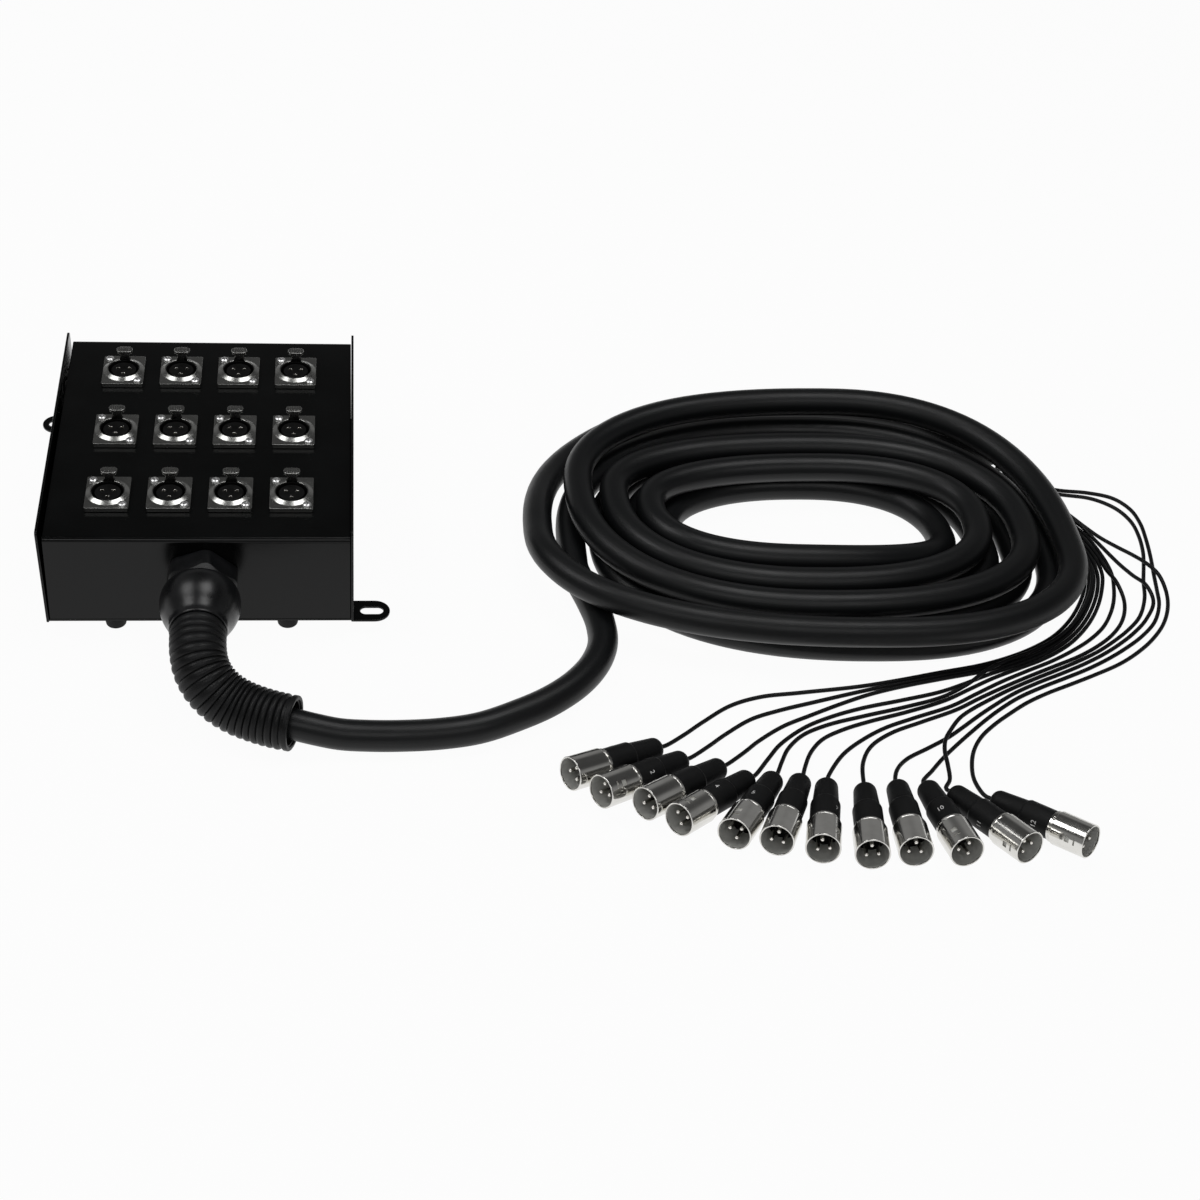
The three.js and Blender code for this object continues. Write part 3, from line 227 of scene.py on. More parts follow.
def smooth_line(points, steps=10):
    """A centripetal Catmull-Rom line through the points of a route or an outline."""
    ends = [2 * points[0] - points[1], *points, 2 * points[-1] - points[-2]]
    line = []
    for p0, p1, p2, p3 in zip(ends, ends[1:], ends[2:], ends[3:]):
        a, b, c = ((q - p).length ** 0.5 for p, q in ((p0, p1), (p1, p2), (p2, p3)))
        leave = ((p1 - p0) / a - (p2 - p0) / (a + b) + (p2 - p1) / b) * b
        arrive = ((p2 - p1) / b - (p3 - p1) / (b + c) + (p3 - p2) / c) * b
        for k in range(steps):
            t = k / steps
            line.append(
                p1 * (2 * t**3 - 3 * t**2 + 1)
                + leave * (t**3 - 2 * t**2 + t)
                + p2 * (3 * t**2 - 2 * t**3)
                + arrive * (t**3 - t**2)
            )
    return [*line, points[-1]]


def evenly(line, spacing):
    """The same line with its points at equal distances, close to this spacing."""
    along = [0.0]
    for a, b in zip(line, line[1:]):
        along.append(along[-1] + (b - a).length)
    count = max(2, round(along[-1] / spacing))
    points = []
    i = 0
    for k in range(count + 1):
        want = along[-1] * k / count
        while i < len(line) - 2 and along[i + 1] < want:
            i += 1
        share = (want - along[i]) / (along[i + 1] - along[i])
        points.append(line[i].lerp(line[i + 1], min(1, share)))
    return points


def length_of(line):
    return sum((b - a).length for a, b in zip(line, line[1:]))


def rounded(corners, steps=5):
    """The closed outline through corners (across, up, radius), each corner rounded."""
    line = []
    for i, (x, y, radius) in enumerate(corners):
        corner = Vector((x, y))
        if not radius:
            line.append(corner)
            continue
        back = (Vector(corners[i - 1][:2]) - corner).normalized()
        ahead = (Vector(corners[(i + 1) % len(corners)][:2]) - corner).normalized()
        half = acos(max(-1, min(1, back.dot(ahead)))) / 2
        centre = corner + (back + ahead).normalized() * radius / sin(half)
        start = corner + back * radius / tan(half) - centre
        finish = corner + ahead * radius / tan(half) - centre
        first = atan2(start.y, start.x)
        sweep = (atan2(finish.y, finish.x) - first + pi) % TAU - pi
        for k in range(steps + 1):
            turn = first + sweep * k / steps
            line.append(centre + radius * Vector((cos(turn), sin(turn))))
    return line


def oblong(width, depth, corner, steps=5):
    x, y = width / 2, depth / 2
    return rounded([(x, y, corner), (-x, y, corner), (-x, -y, corner), (x, -y, corner)], steps)


def circle(diameter, sides=64, centre=(0, 0)):
    middle = Vector(centre)
    turns = (TAU * k / sides for k in range(sides))
    return [middle + diameter / 2 * Vector((cos(turn), sin(turn))) for turn in turns]


# Meshes


def mesh_from(verts, faces):
    mesh = bpy.data.meshes.new("shape")
    mesh.from_pydata([tuple(v) for v in verts], [], faces)
    return mesh


def turned(profile, sides=64, closed=False):
    """A solid of revolution about +Z from a profile of (radius, height) points."""
    verts, rings = [], []
    for radius, height in profile:
        count = sides if radius > 1e-7 else 1
        rings.append((len(verts), count))
        for k in range(count):
            turn = TAU * k / sides
            verts.append((radius * cos(turn), radius * sin(turn), height))
    faces = []
    pairs = list(zip(rings, rings[1:]))
    if closed:
        pairs.append((rings[-1], rings[0]))
    for (a, a_count), (b, b_count) in pairs:
        for k in range(sides):
            n = (k + 1) % sides
            low = [a + k, a + n] if a_count > 1 else [a]
            high = [b + n, b + k] if b_count > 1 else [b]
            if len(low) + len(high) > 2:
                faces.append([*low, *high])
    return upright_faces(mesh_from(verts, faces))


def upright_faces(mesh):
    """The mesh with its doubles merged and its faces pointing out."""
    shape = bmesh.new()
    shape.from_mesh(mesh)
    bmesh.ops.remove_doubles(shape, verts=shape.verts, dist=1e-7)
    bmesh.ops.recalc_face_normals(shape, faces=shape.faces)
    shape.to_mesh(mesh)
    shape.free()
    return mesh


def evaluated_mesh(piece):
    bpy.context.view_layer.update()
    graph = bpy.context.evaluated_depsgraph_get()
    return bpy.data.meshes.new_from_object(piece.evaluated_get(graph))


def plate(outline, thick, edge=0.0, holes=()):
    """A flat plate that stands on z = 0, with holes and with rounded edges."""
    curve = bpy.data.curves.new("plate", "CURVE")
    curve.dimensions = "2D"
    curve.fill_mode = "BOTH"
    for line in [outline, *holes]:
        spline = curve.splines.new("POLY")
        spline.points.add(len(line) - 1)
        for point, (x, y) in zip(spline.points, line):
            point.co = (x, y, 0, 1)
        spline.use_cyclic_u = True
    curve.extrude = thick / 2 - edge
    curve.bevel_depth = edge
    curve.bevel_resolution = 2
    curve.offset = -edge
    holder = bpy.data.objects.new("plate", curve)
    bpy.context.scene.collection.objects.link(holder)
    mesh = evaluated_mesh(holder)
    bpy.data.objects.remove(holder)
    mesh.transform(Matrix.Translation((0, 0, thick / 2)))
    return upright_faces(mesh)


def block(low, high, edge=0.0):
    """A box between two corners, with rounded edges."""
    size = Vector(high) - Vector(low)
    middle = (Vector(low) + Vector(high)) / 2
    mesh = plate(oblong(size.x, size.y, edge, 3) if edge else oblong(size.x, size.y, 0), size.z, edge)
    mesh.transform(Matrix.Translation((middle.x, middle.y, low[2])))
    return mesh


def tube(line, radius, sides):
    """A closed tube along a line, with a UV map in metres along it and turns around it."""
    tangents = []
    for i in range(len(line)):
        tangents.append((line[min(i + 1, len(line) - 1)] - line[max(i - 1, 0)]).normalized())
    side = tangents[0].orthogonal().normalized()
    rings, along = [], [0.0]
    for i, point in enumerate(line):
        side = (side - tangents[i] * side.dot(tangents[i])).normalized()
        other = tangents[i].cross(side)
        rings.append([point + radius * (side * cos(TAU * k / sides) + other * sin(TAU * k / sides))
                      for k in range(sides)])
        if i:
            along.append(along[-1] + (point - line[i - 1]).length)
    verts = [v for ring in rings for v in ring] + [line[0], line[-1]]
    faces, uvs = [], []
    for i in range(len(rings) - 1):
        for k in range(sides):
            n = (k + 1) % sides
            faces.append([i * sides + k, i * sides + n, (i + 1) * sides + n, (i + 1) * sides + k])
            a, b = k / sides, (k + 1) / sides
            uvs += [(along[i], a), (along[i], b), (along[i + 1], b), (along[i + 1], a)]
    last = (len(rings) - 1) * sides
    for k in range(sides):
        n = (k + 1) % sides
        faces.append([len(verts) - 2, n, k])
        faces.append([len(verts) - 1, last + k, last + n])
        uvs += [(0, 0)] * 3 + [(along[-1], 0)] * 3
    mesh = mesh_from(verts, faces)
    layer = mesh.uv_layers.new(name="along")
    for loop, uv in zip(layer.data, uvs):
        loop.uv = uv
    return mesh


def drill(diameter):
    """A rod along Z through the origin, long enough to cut any sheet here."""
    radius, reach = diameter / 2, 20 * MM
    return turned([(0, -reach), (radius, -reach), (radius, reach), (0, reach)])


def holder_for(mesh, name="holder"):
    piece = bpy.data.objects.new(name, mesh)
    bpy.context.scene.collection.objects.link(piece)
    return piece


def carved(mesh, *cutters):
    """The mesh with each cutter taken away from it."""
    body = holder_for(mesh)
    others = []
    for cutter in cutters:
        tool = holder_for(cutter)
        cut = body.modifiers.new("cut", "BOOLEAN")
        cut.operation = "DIFFERENCE"
        cut.solver = "EXACT"
        cut.object = tool
        others.append(tool)
    result = evaluated_mesh(body)
    for piece in [body, *others]:
        bpy.data.objects.remove(piece)
    return result


def placed(mesh, matrix):
    copy = mesh.copy()
    copy.transform(matrix)
    return copy


def joined(meshes):
    shape = bmesh.new()
    for mesh in meshes:
        shape.from_mesh(mesh)
    result = bpy.data.meshes.new("joined")
    shape.to_mesh(result)
    shape.free()
    return result


def piece_from(name, parts, crease=35):
    """One object from (mesh, material) parts, with smooth shading up to a crease angle."""
    shape = bmesh.new()
    materials = []
    for mesh, material in parts:
        if material not in materials:
            materials.append(material)
        start = len(shape.faces)
        shape.from_mesh(mesh)
        shape.faces.ensure_lookup_table()
        for face in shape.faces[start:]:
            face.material_index = materials.index(material)
            face.smooth = True
    mesh = bpy.data.meshes.new(name)
    shape.to_mesh(mesh)
    shape.free()
    for material in materials:
        mesh.materials.append(material)
    mesh.set_sharp_from_angle(angle=radians(crease))
    piece = holder_for(mesh, name)
    even = piece.modifiers.new("even shading", "WEIGHTED_NORMAL")
    even.keep_sharp = True
    return piece


def settle(piece, body, *nodes):
    """The piece rides on a body and stands for CAD nodes."""
    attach(piece, body)
    if nodes:
        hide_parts(*nodes)
    return piece


# Geometry Nodes


def tree_with(name, kind, inputs, outputs):
    """A new tree with inputs, given as name, kind and any default, and with outputs."""
    tree = bpy.data.node_groups.new(name, kind)
    for label, value_kind, *default in inputs:
        made = tree.interface.new_socket(label, in_out="INPUT", socket_type="NodeSocket" + value_kind)
        if default:
            made.default_value = default[0]
    for label, value_kind in outputs:
        tree.interface.new_socket(label, in_out="OUTPUT", socket_type="NodeSocket" + value_kind)
    return tree


def feed(tree, made, feeds):
    """Give a node's inputs their values, or link them to the sockets of other nodes."""
    for key, value in feeds.items():
        if isinstance(value, bpy.types.NodeSocket):
            tree.links.new(value, made.inputs[key])
        else:
            made.inputs[key].default_value = value


def node(tree, kind, feeds=None, **settings):
    """A new node with these settings and with its inputs fed."""
    made = tree.nodes.new(kind)
    for name, value in settings.items():
        setattr(made, name, value)
    feed(tree, made, feeds or {})
    return made


def maths(tree, operation, *values):
    """The result of one Math node."""
    return node(tree, "ShaderNodeMath", dict(enumerate(values)), operation=operation).outputs[0]


def vector_maths(tree, operation, feeds):
    """The result of one Vector Math node."""
    return node(tree, "ShaderNodeVectorMath", feeds, operation=operation).outputs[0]


def solid_end(tree, geometry, material):
    """The end of a tree: instances made real, and the material set."""
    solid = node(tree, "GeometryNodeRealizeInstances", {"Geometry": geometry})
    finish = node(tree, "GeometryNodeSetMaterial", {"Geometry": solid.outputs[0], "Material": material})
    node(tree, "NodeGroupOutput", {"Geometry": finish.outputs[0]})


def rows_tree():
    """Copies of a piece in rows and columns round a centre."""
    found = bpy.data.node_groups.get("Set In Rows")
    if found:
        return found
    tree = tree_with("Set In Rows", "GeometryNodeTree", [
        ("Geometry", "Geometry"), ("Piece", "Object"), ("Columns", "Int"), ("Rows", "Int"),
        ("Pitch Across", "Float"), ("Pitch Deep", "Float"), ("Centre", "Vector"), ("Material", "Material"),
    ], [("Geometry", "Geometry")])
    given = node(tree, "NodeGroupInput").outputs
    grid = node(tree, "GeometryNodeMeshGrid")
    for count, pitch, size, verts in (
        ("Columns", "Pitch Across", "Size X", "Vertices X"),
        ("Rows", "Pitch Deep", "Size Y", "Vertices Y"),
    ):
        whole = maths(tree, "MULTIPLY", maths(tree, "SUBTRACT", given[count], 1), given[pitch])
        feed(tree, grid, {size: whole, verts: given[count]})
    move = node(tree, "GeometryNodeTransform", {
        "Geometry": grid.outputs["Mesh"], "Translation": given["Centre"],
    })
    source = node(tree, "GeometryNodeObjectInfo", {"Object": given["Piece"], "As Instance": True})
    spread = node(tree, "GeometryNodeInstanceOnPoints", {
        "Points": move.outputs["Geometry"], "Instance": source.outputs["Geometry"],
    })
    solid_end(tree, spread.outputs["Instances"], given["Material"])
    return tree


def route_tree():
    """A straight piece, made along +Z, laid along a route."""
    found = bpy.data.node_groups.get("Lay Along Route")
    if found:
        return found
    tree = tree_with("Lay Along Route", "GeometryNodeTree", [
        ("Geometry", "Geometry"), ("Piece", "Object"), ("Route", "Object"), ("Length", "Float"),
        ("Material", "Material"),
    ], [("Geometry", "Geometry")])
    given = node(tree, "NodeGroupInput").outputs
    source = node(tree, "GeometryNodeObjectInfo", {"Object": given["Piece"]})
    route = node(tree, "GeometryNodeObjectInfo", {"Object": given["Route"]})
    here = node(tree, "GeometryNodeInputPosition")
    apart = node(tree, "ShaderNodeSeparateXYZ", {0: here.outputs[0]}).outputs
    sample = node(tree, "GeometryNodeSampleCurve", {
        "Curves": route.outputs["Geometry"], "Factor": maths(tree, "DIVIDE", apart["Z"], given["Length"]),
    }, mode="FACTOR").outputs
    across = vector_maths(tree, "CROSS_PRODUCT", {0: sample["Tangent"], 1: sample["Normal"]})
    shift = vector_maths(tree, "SCALE", {0: sample["Normal"], "Scale": apart["X"]})
    other = vector_maths(tree, "SCALE", {0: across, "Scale": apart["Y"]})
    offset = vector_maths(tree, "ADD", {0: shift, 1: other})
    total = vector_maths(tree, "ADD", {0: sample["Position"], 1: offset})
    move = node(tree, "GeometryNodeSetPosition", {"Geometry": source.outputs["Geometry"], "Position": total})
    solid_end(tree, move.outputs["Geometry"], given["Material"])
    return tree


def grown(tree, **values):
    """The mesh that a geometry tree makes from these inputs."""
    holder = holder_for(bpy.data.meshes.new("grown"))
    modifier = holder.modifiers.new("grow", "NODES")
    modifier.node_group = tree
    for item in tree.interface.items_tree:
        key = item.name.replace(" ", "_").lower()
        if item.in_out == "INPUT" and key in values:
            modifier[item.identifier] = values[key]
    mesh = evaluated_mesh(holder)
    bpy.data.objects.remove(holder)
    return mesh


def in_rows(mesh, material, columns, rows, pitch_across, pitch_deep, centre):
    source = holder_for(mesh)
    result = grown(
        rows_tree(), piece=source, columns=columns, rows=rows, pitch_across=pitch_across,
        pitch_deep=pitch_deep, centre=centre, material=material,
    )
    bpy.data.objects.remove(source)
    return result


# Materials


def grain_group():
    """Fine surface relief, given out as a normal."""
    found = bpy.data.node_groups.get("Surface Grain")
    if found:
        return found
    group = tree_with("Surface Grain", "ShaderNodeTree", [
        ("Scale", "Float", 900), ("Depth", "Float", 0.0001), ("Detail", "Float", 3),
    ], [("Normal", "Vector")])
    given = node(group, "NodeGroupInput").outputs
    place = node(group, "ShaderNodeTexCoord")
    noise = node(group, "ShaderNodeTexNoise", {
        "Vector": place.outputs["Object"], "Scale": given["Scale"], "Detail": given["Detail"],
    })
    bump = node(group, "ShaderNodeBump", {"Height": noise.outputs["Fac"], "Distance": given["Depth"]})
    node(group, "NodeGroupOutput", {"Normal": bump.outputs["Normal"]})
    return group


def mottle_group():
    """Slow changes of colour and roughness over a surface."""
    found = bpy.data.node_groups.get("Surface Mottle")
    if found:
        return found
    group = tree_with("Surface Mottle", "ShaderNodeTree", [
        ("Colour", "Color"), ("Second Colour", "Color"), ("Scale", "Float", 40), ("Roughness", "Float", 0.4),
        ("Spread", "Float", 0.1),
    ], [("Colour", "Color"), ("Roughness", "Float")])
    given = node(group, "NodeGroupInput").outputs
    place = node(group, "ShaderNodeTexCoord")
    noise = node(group, "ShaderNodeTexNoise", {
        "Vector": place.outputs["Object"], "Scale": given["Scale"], "Detail": 5,
    })
    level = node(group, "ShaderNodeMapRange", {
        "Value": noise.outputs["Fac"], "From Min": 0.35, "From Max": 0.65,
    }).outputs["Result"]
    blend = node(group, "ShaderNodeMix", {
        "Factor": level, "A": given["Colour"], "B": given["Second Colour"],
    }, data_type="RGBA")
    rough = maths(group, "MULTIPLY_ADD", level, given["Spread"], given["Roughness"])
    node(group, "NodeGroupOutput", {"Colour": blend.outputs["Result"], "Roughness": rough})
    return group


def streak_group():
    """Fine streaks and rings that follow a cable, from its UV map."""
    found = bpy.data.node_groups.get("Cable Streaks")
    if found:
        return found
    group = tree_with("Cable Streaks", "ShaderNodeTree", [
        ("Along", "Float", 30), ("Around", "Float", 40), ("Depth", "Float", 0.00004), ("Normal", "Vector"),
    ], [("Normal", "Vector")])
    given = node(group, "NodeGroupInput").outputs
    where = node(group, "ShaderNodeUVMap", uv_map="along")
    apart = node(group, "ShaderNodeSeparateXYZ", {0: where.outputs[0]}).outputs
    together = node(group, "ShaderNodeCombineXYZ", {
        "X": maths(group, "MULTIPLY", apart["X"], given["Along"]),
        "Y": maths(group, "MULTIPLY", apart["Y"], given["Around"]),
    })
    noise = node(group, "ShaderNodeTexNoise", {"Vector": together.outputs[0], "Scale": 1})
    bump = node(group, "ShaderNodeBump", {
        "Height": noise.outputs["Fac"], "Distance": given["Depth"], "Normal": given["Normal"],
    })
    node(group, "NodeGroupOutput", {"Normal": bump.outputs["Normal"]})
    return group


def finish_material(
    name, colour, second, roughness, spread, mottle, grain, depth, metallic=0.0, gloss=0.5, streaks=None,
):
    """A surface with its own mottle, grain and gloss, under a name that no CAD material has."""
    finish = f"{name}_finish"
    found = bpy.data.materials.get(finish)
    if found:
        return found
    material = bpy.data.materials.new(finish)
    material.use_nodes = True
    tree = material.node_tree
    blotch = node(tree, "ShaderNodeGroup", {
        "Colour": (*colour, 1), "Second Colour": (*second, 1), "Scale": mottle, "Roughness": roughness,
        "Spread": spread,
    }, node_tree=mottle_group())
    relief = node(tree, "ShaderNodeGroup", {"Scale": grain, "Depth": depth}, node_tree=grain_group())
    if streaks:
        along, around, deep = streaks
        relief = node(tree, "ShaderNodeGroup", {
            "Along": along, "Around": around, "Depth": deep, "Normal": relief.outputs["Normal"],
        }, node_tree=streak_group())
    feed(tree, tree.nodes["Principled BSDF"], {
        "Metallic": metallic, "Specular IOR Level": gloss, "Base Color": blotch.outputs["Colour"],
        "Roughness": blotch.outputs["Roughness"], "Normal": relief.outputs["Normal"],
    })
    return material


def box_paint():
    tone = tuple(bpy.context.scene.snake_finish.paint)
    return finish_material(
        "black_satin_paint", tone, tuple(1.4 * c for c in tone),
        roughness=0.19, spread=0.04, mottle=25, grain=1400, depth=0.00002, gloss=0.23,
    )


def socket_nickel():
    tone = tuple(bpy.context.scene.snake_finish.nickel)
    return finish_material(
        "satin_nickel", tone, tuple(0.86 * c for c in tone),
        roughness=0.2, spread=0.08, mottle=160, grain=1500, depth=0.00001, metallic=1,
    )


def latch_nickel():
    return finish_material(
        "latch_nickel", (0.34, 0.34, 0.33), (0.22, 0.22, 0.21),
        roughness=0.2, spread=0.15, mottle=500, grain=1500, depth=0.00008, metallic=1,
    )


def plug_nickel():
    return finish_material(
        "bright_nickel", (0.74, 0.73, 0.7), (0.68, 0.67, 0.64),
        roughness=0.12, spread=0.06, mottle=90, grain=700, depth=0.000005, metallic=1,
    )


def bare_bore():
    return finish_material(
        "shell_inside", (0.6, 0.6, 0.57), (0.5, 0.5, 0.48),
        roughness=0.5, spread=0.1, mottle=200, grain=900, depth=0.00002, metallic=0.3,
    )


def pin_nickel():
    return finish_material(
        "pin_metal", (0.9, 0.88, 0.83), (0.82, 0.8, 0.75),
        roughness=0.2, spread=0.05, mottle=400, grain=900, depth=0.00001, metallic=1,
    )


def screw_steel():
    return finish_material(
        "screw_steel", (0.8, 0.8, 0.8), (0.6, 0.6, 0.6),
        roughness=0.3, spread=0.12, mottle=500, grain=1500, depth=0.00002, metallic=1,
    )


def insert_plastic():
    return finish_material(
        "insert_plastic", (0.002, 0.002, 0.002), (0.004, 0.004, 0.004),
        roughness=0.4, spread=0.1, mottle=200, grain=1200, depth=0.00003, gloss=0.15,
    )


def gland_nylon():
    return finish_material(
        "gland_nylon", (0.004, 0.0042, 0.0046), (0.007, 0.0073, 0.008),
        roughness=0.26, spread=0.08, mottle=60, grain=700, depth=0.00003, gloss=0.35,
    )


def hose_nylon():
    return finish_material(
        "hose_nylon", (0.004, 0.0042, 0.0045), (0.007, 0.0072, 0.0078),
        roughness=0.4, spread=0.12, mottle=80, grain=900, depth=0.00003, gloss=0.22,
    )


def trunk_jacket():
    tone = tuple(bpy.context.scene.snake_finish.jacket)
    return finish_material(
        "trunk_jacket", tone, tuple(0.6 * c for c in tone),
        roughness=0.36, spread=0.1, mottle=18, grain=900, depth=0.00003, gloss=0.3, streaks=(14, 26, 0.00008),
    )


def tail_jacket():
    return finish_material(
        "tail_jacket", (0.004, 0.0042, 0.0045), (0.005, 0.0052, 0.006),
        roughness=0.4, spread=0.1, mottle=60, grain=1600, depth=0.00003, gloss=0.2,
    )


def boot_rubber():
    return finish_material(
        "boot_rubber", (0.004, 0.0042, 0.0045), (0.0055, 0.0057, 0.006),
        roughness=0.5, spread=0.12, mottle=120, grain=1500, depth=0.00004, gloss=0.2,
    )


def foot_rubber():
    return finish_material(
        "foot_rubber", (0.008, 0.008, 0.0085), (0.013, 0.013, 0.0135),
        roughness=0.7, spread=0.1, mottle=100, grain=1300, depth=0.00008, gloss=0.3,
    )


def number_ink():
    return finish_material(
        "number_ink", (0.75, 0.75, 0.74), (0.6, 0.6, 0.6),
        roughness=0.6, spread=0.1, mottle=700, grain=2000, depth=0.00002,
    )


# Settings


def size(name, default, description):
    return FloatProperty(name=name, default=default, min=0, unit="LENGTH", precision=5,
                         description=description)


def tone(name, default, description):
    return FloatVectorProperty(name=name, subtype="COLOR", size=3, min=0, max=1, default=default,
                               description=description)


class BoxSizes(PropertyGroup):
    sheet: size("Sheet", 1.5 * MM, "Thickness of the steel sheet")
    bend: size("Bend", 3 * MM, "Outside radius of the bends of the cover")
    cheek_corner: size("Cheek Corner", 2.5 * MM, "Radius of the upper corners of the cheeks")
    cheek_lean: size("Cheek Lean", 1.8 * MM, "How far the left cheek is bent outward at its top")
    edge: size("Edge", 0.35 * MM, "Rounding of the painted sheet edges")
    ear_reach: size("Ear Reach", 22 * MM, "How far a fixing ear stands out from its cheek")
    ear_width: size("Ear Width", 18.6 * MM, "Width of a fixing ear")
    ear_inset: size("Ear Inset", 8 * MM, "From the end of the cover to the middle of the ear")
    slot_length: size("Slot Length", 14 * MM, "Length of the slot in an ear")
    slot_width: size("Slot Width", 7 * MM, "Width of the slot in an ear")
    cutout_gap: size("Cutout Gap", 0.4 * MM, "Gap between a socket's shell and its cutout")
    gland_hole: size("Gland Hole", 35.6 * MM, "Diameter of the hole for the gland")
    gland_thread: size("Gland Thread", 34.8 * MM, "Diameter of the gland's thread")
    gland_hex: size("Gland Hexagon", 46.5 * MM, "Width of the gland's hexagon over its corners")
    gland_turn: FloatProperty(name="Hexagon Turn", default=20, description="Turn of the hexagon in degrees")
    gland_hex_thick: size("Hexagon Thickness", 15.5 * MM, "Thickness of the gland's hexagon")
    gland_bore: size("Gland Bore", 22.5 * MM, "Diameter of the gland's bore")


class SocketSizes(PropertyGroup):
    columns: IntProperty(name="Columns", default=4, min=1, description="Sockets in a row")
    rows: IntProperty(name="Rows", default=3, min=1, description="Rows of sockets")
    flange_width: size("Flange Width", 26 * MM, "Width of a socket flange")
    flange_depth: size("Flange Depth", 31 * MM, "Depth of a socket flange")
    flange_thick: size("Flange Thickness", 3 * MM, "Thickness of a socket flange")
    flange_corner: size("Flange Corner", 0.9 * MM, "Corner radius of a socket flange")
    stand: size("Stand", 6 * MM, "Height of a socket's solid over the lid")
    collar_base: size("Collar Base", 25.9 * MM, "Diameter of the collar at the flange")
    collar_rim: size("Collar Rim", 20.2 * MM, "Diameter of the collar at its rim")
    collar_height: size("Collar Height", 1.45 * MM, "Height of the collar over the flange")
    bore: size("Bore", 19.4 * MM, "Diameter of the bore that takes a plug")
    shell: size("Shell", 23.2 * MM, "Diameter of the shell under the lid")
    insert: size("Insert", 15.6 * MM, "Diameter of the plastic insert")
    recess: size("Recess", 1.15 * MM, "Depth of the insert below the rim")
    depth: size("Depth", 15 * MM, "Depth of the groove round the insert")
    contact_circle: size("Contact Circle", 8 * MM, "Diameter of the circle of contacts")
    contact_hole: size("Contact Hole", 2.8 * MM, "Diameter of a contact hole")
    neck: size("Neck", 6 * MM, "Width of the neck of a release tab")
    screw_head: size("Screw Head", 5.2 * MM, "Diameter of a flange screw head")
    screw_inset: size("Screw Inset", 3.6 * MM, "From the flange's edges to a screw")


class CableSizes(PropertyGroup):
    trunk: size("Trunk", 18.5 * MM, "Diameter of the trunk cable")
    tail: size("Tail", 2.6 * MM, "Diameter of a tail")
    coil_rise: size("Coil Rise", 19 * MM, "Height of one layer of the coil over the one below")
    coil_height: size("Coil Height", 9.4 * MM, "Height of the middle of the lowest layer")
    coil_roundness: FloatProperty(name="Coil Roundness", default=0.86, min=0.5, max=1,
                                  description="1 for round turns, less for squarer ones")
    hose_crest: size("Hose Crest", 33 * MM, "Diameter of the hose over its ribs")
    hose_valley: size("Hose Valley", 30.2 * MM, "Diameter of the hose between its ribs")
    hose_bore: size("Hose Bore", 26 * MM, "Inside diameter of the hose")
    hose_ribs: IntProperty(name="Hose Ribs", default=21, min=1, description="Ribs on the hose")


class PlugSizes(PropertyGroup):
    shell: size("Shell", 20 * MM, "Diameter of the metal shell of a plug")
    shell_length: size("Shell Length", 24 * MM, "Length of the metal shell")
    collar: size("Collar", 17.2 * MM, "Diameter of the boot's collar at the shell")
    collar_length: size("Collar Length", 19 * MM, "Length of the boot's collar")
    boot: size("Boot", 15.4 * MM, "Diameter of the boot behind its collar")
    boot_length: size("Boot Length", 41 * MM, "Length of the boot with its collar")
    boot_tip: size("Boot Tip", 13 * MM, "Diameter of the boot at the cable")
    cavity: size("Cavity", 18.2 * MM, "Inside diameter of the shell")
    cavity_depth: size("Cavity Depth", 17 * MM, "Depth of the shell over the insert")
    pin: size("Pin", 2.4 * MM, "Diameter of a pin")
    pin_length: size("Pin Length", 14.5 * MM, "Length of a pin")
    pin_circle: size("Pin Circle", 8 * MM, "Diameter of the circle of pins")


class Finishes(PropertyGroup):
    paint: tone("Paint", (0.0015, 0.0017, 0.0017), "Colour of the painted steel")
    nickel: tone("Nickel", (0.42, 0.42, 0.405), "Colour of the socket flanges")
    jacket: tone("Jacket", (0.005, 0.0056, 0.0062), "Colour of the trunk's jacket")


# The object in the frame


def middle(node):
    low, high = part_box(node)
    return (low + high) / 2


def socket_grid():
    """The centre of the sockets, their pitches and the height where the flanges start."""
    sizes = bpy.context.scene.snake_socket
    first, last = middle("socket_01"), middle(f"socket_{sizes.columns * sizes.rows:02d}")
    across = (last.x - first.x) / (sizes.columns - 1)
    deep = (first.y - last.y) / (sizes.rows - 1)
    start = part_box("socket_01")[1].z - sizes.stand
    return Vector(((first.x + last.x) / 2, (first.y + last.y) / 2, start)), across, deep


def in_socket_rows(mesh, material):
    sizes = bpy.context.scene.snake_socket
    centre, across, deep = socket_grid()
    return in_rows(mesh, material, sizes.columns, sizes.rows, across, deep, centre)


def coil_line(steps):
    """The trunk's coil, from formulas between its furthest places."""
    sizes = bpy.context.scene.snake_cable
    line = []
    for n in range(int(COIL_END * steps) + 1):
        station = n / steps
        k = min(int(station + 1e-9), len(COIL_PLACES) - 2)
        turn = max(0, station - k) * pi / 2
        out = max(0, cos(turn)) ** sizes.coil_roundness
        along = max(0, sin(turn)) ** sizes.coil_roundness
        (ax, ay), (bx, by) = COIL_PLACES[k], COIL_PLACES[k + 1]
        x = ax + (bx - ax) * along if k % 2 else bx - (bx - ax) * out
        y = by - (by - ay) * out if k % 2 else ay + (by - ay) * along
        line.append(Vector((x * MM, y * MM, sizes.coil_height + sizes.coil_rise * coil_level(station))))
    return line


def coil_level(station):
    for (s0, l0), (s1, l1) in zip(COIL_LEVELS, COIL_LEVELS[1:]):
        if station <= s1:
            share = (1 - cos(pi * (station - s0) / (s1 - s0))) / 2
            return l0 + (l1 - l0) * share
    return COIL_LEVELS[-1][1]


def coil_end():
    """The last place of the coil, and the heading there."""
    coil = coil_line(COIL_STEPS)
    return coil[-1], (coil[-1] - coil[-2]).normalized()


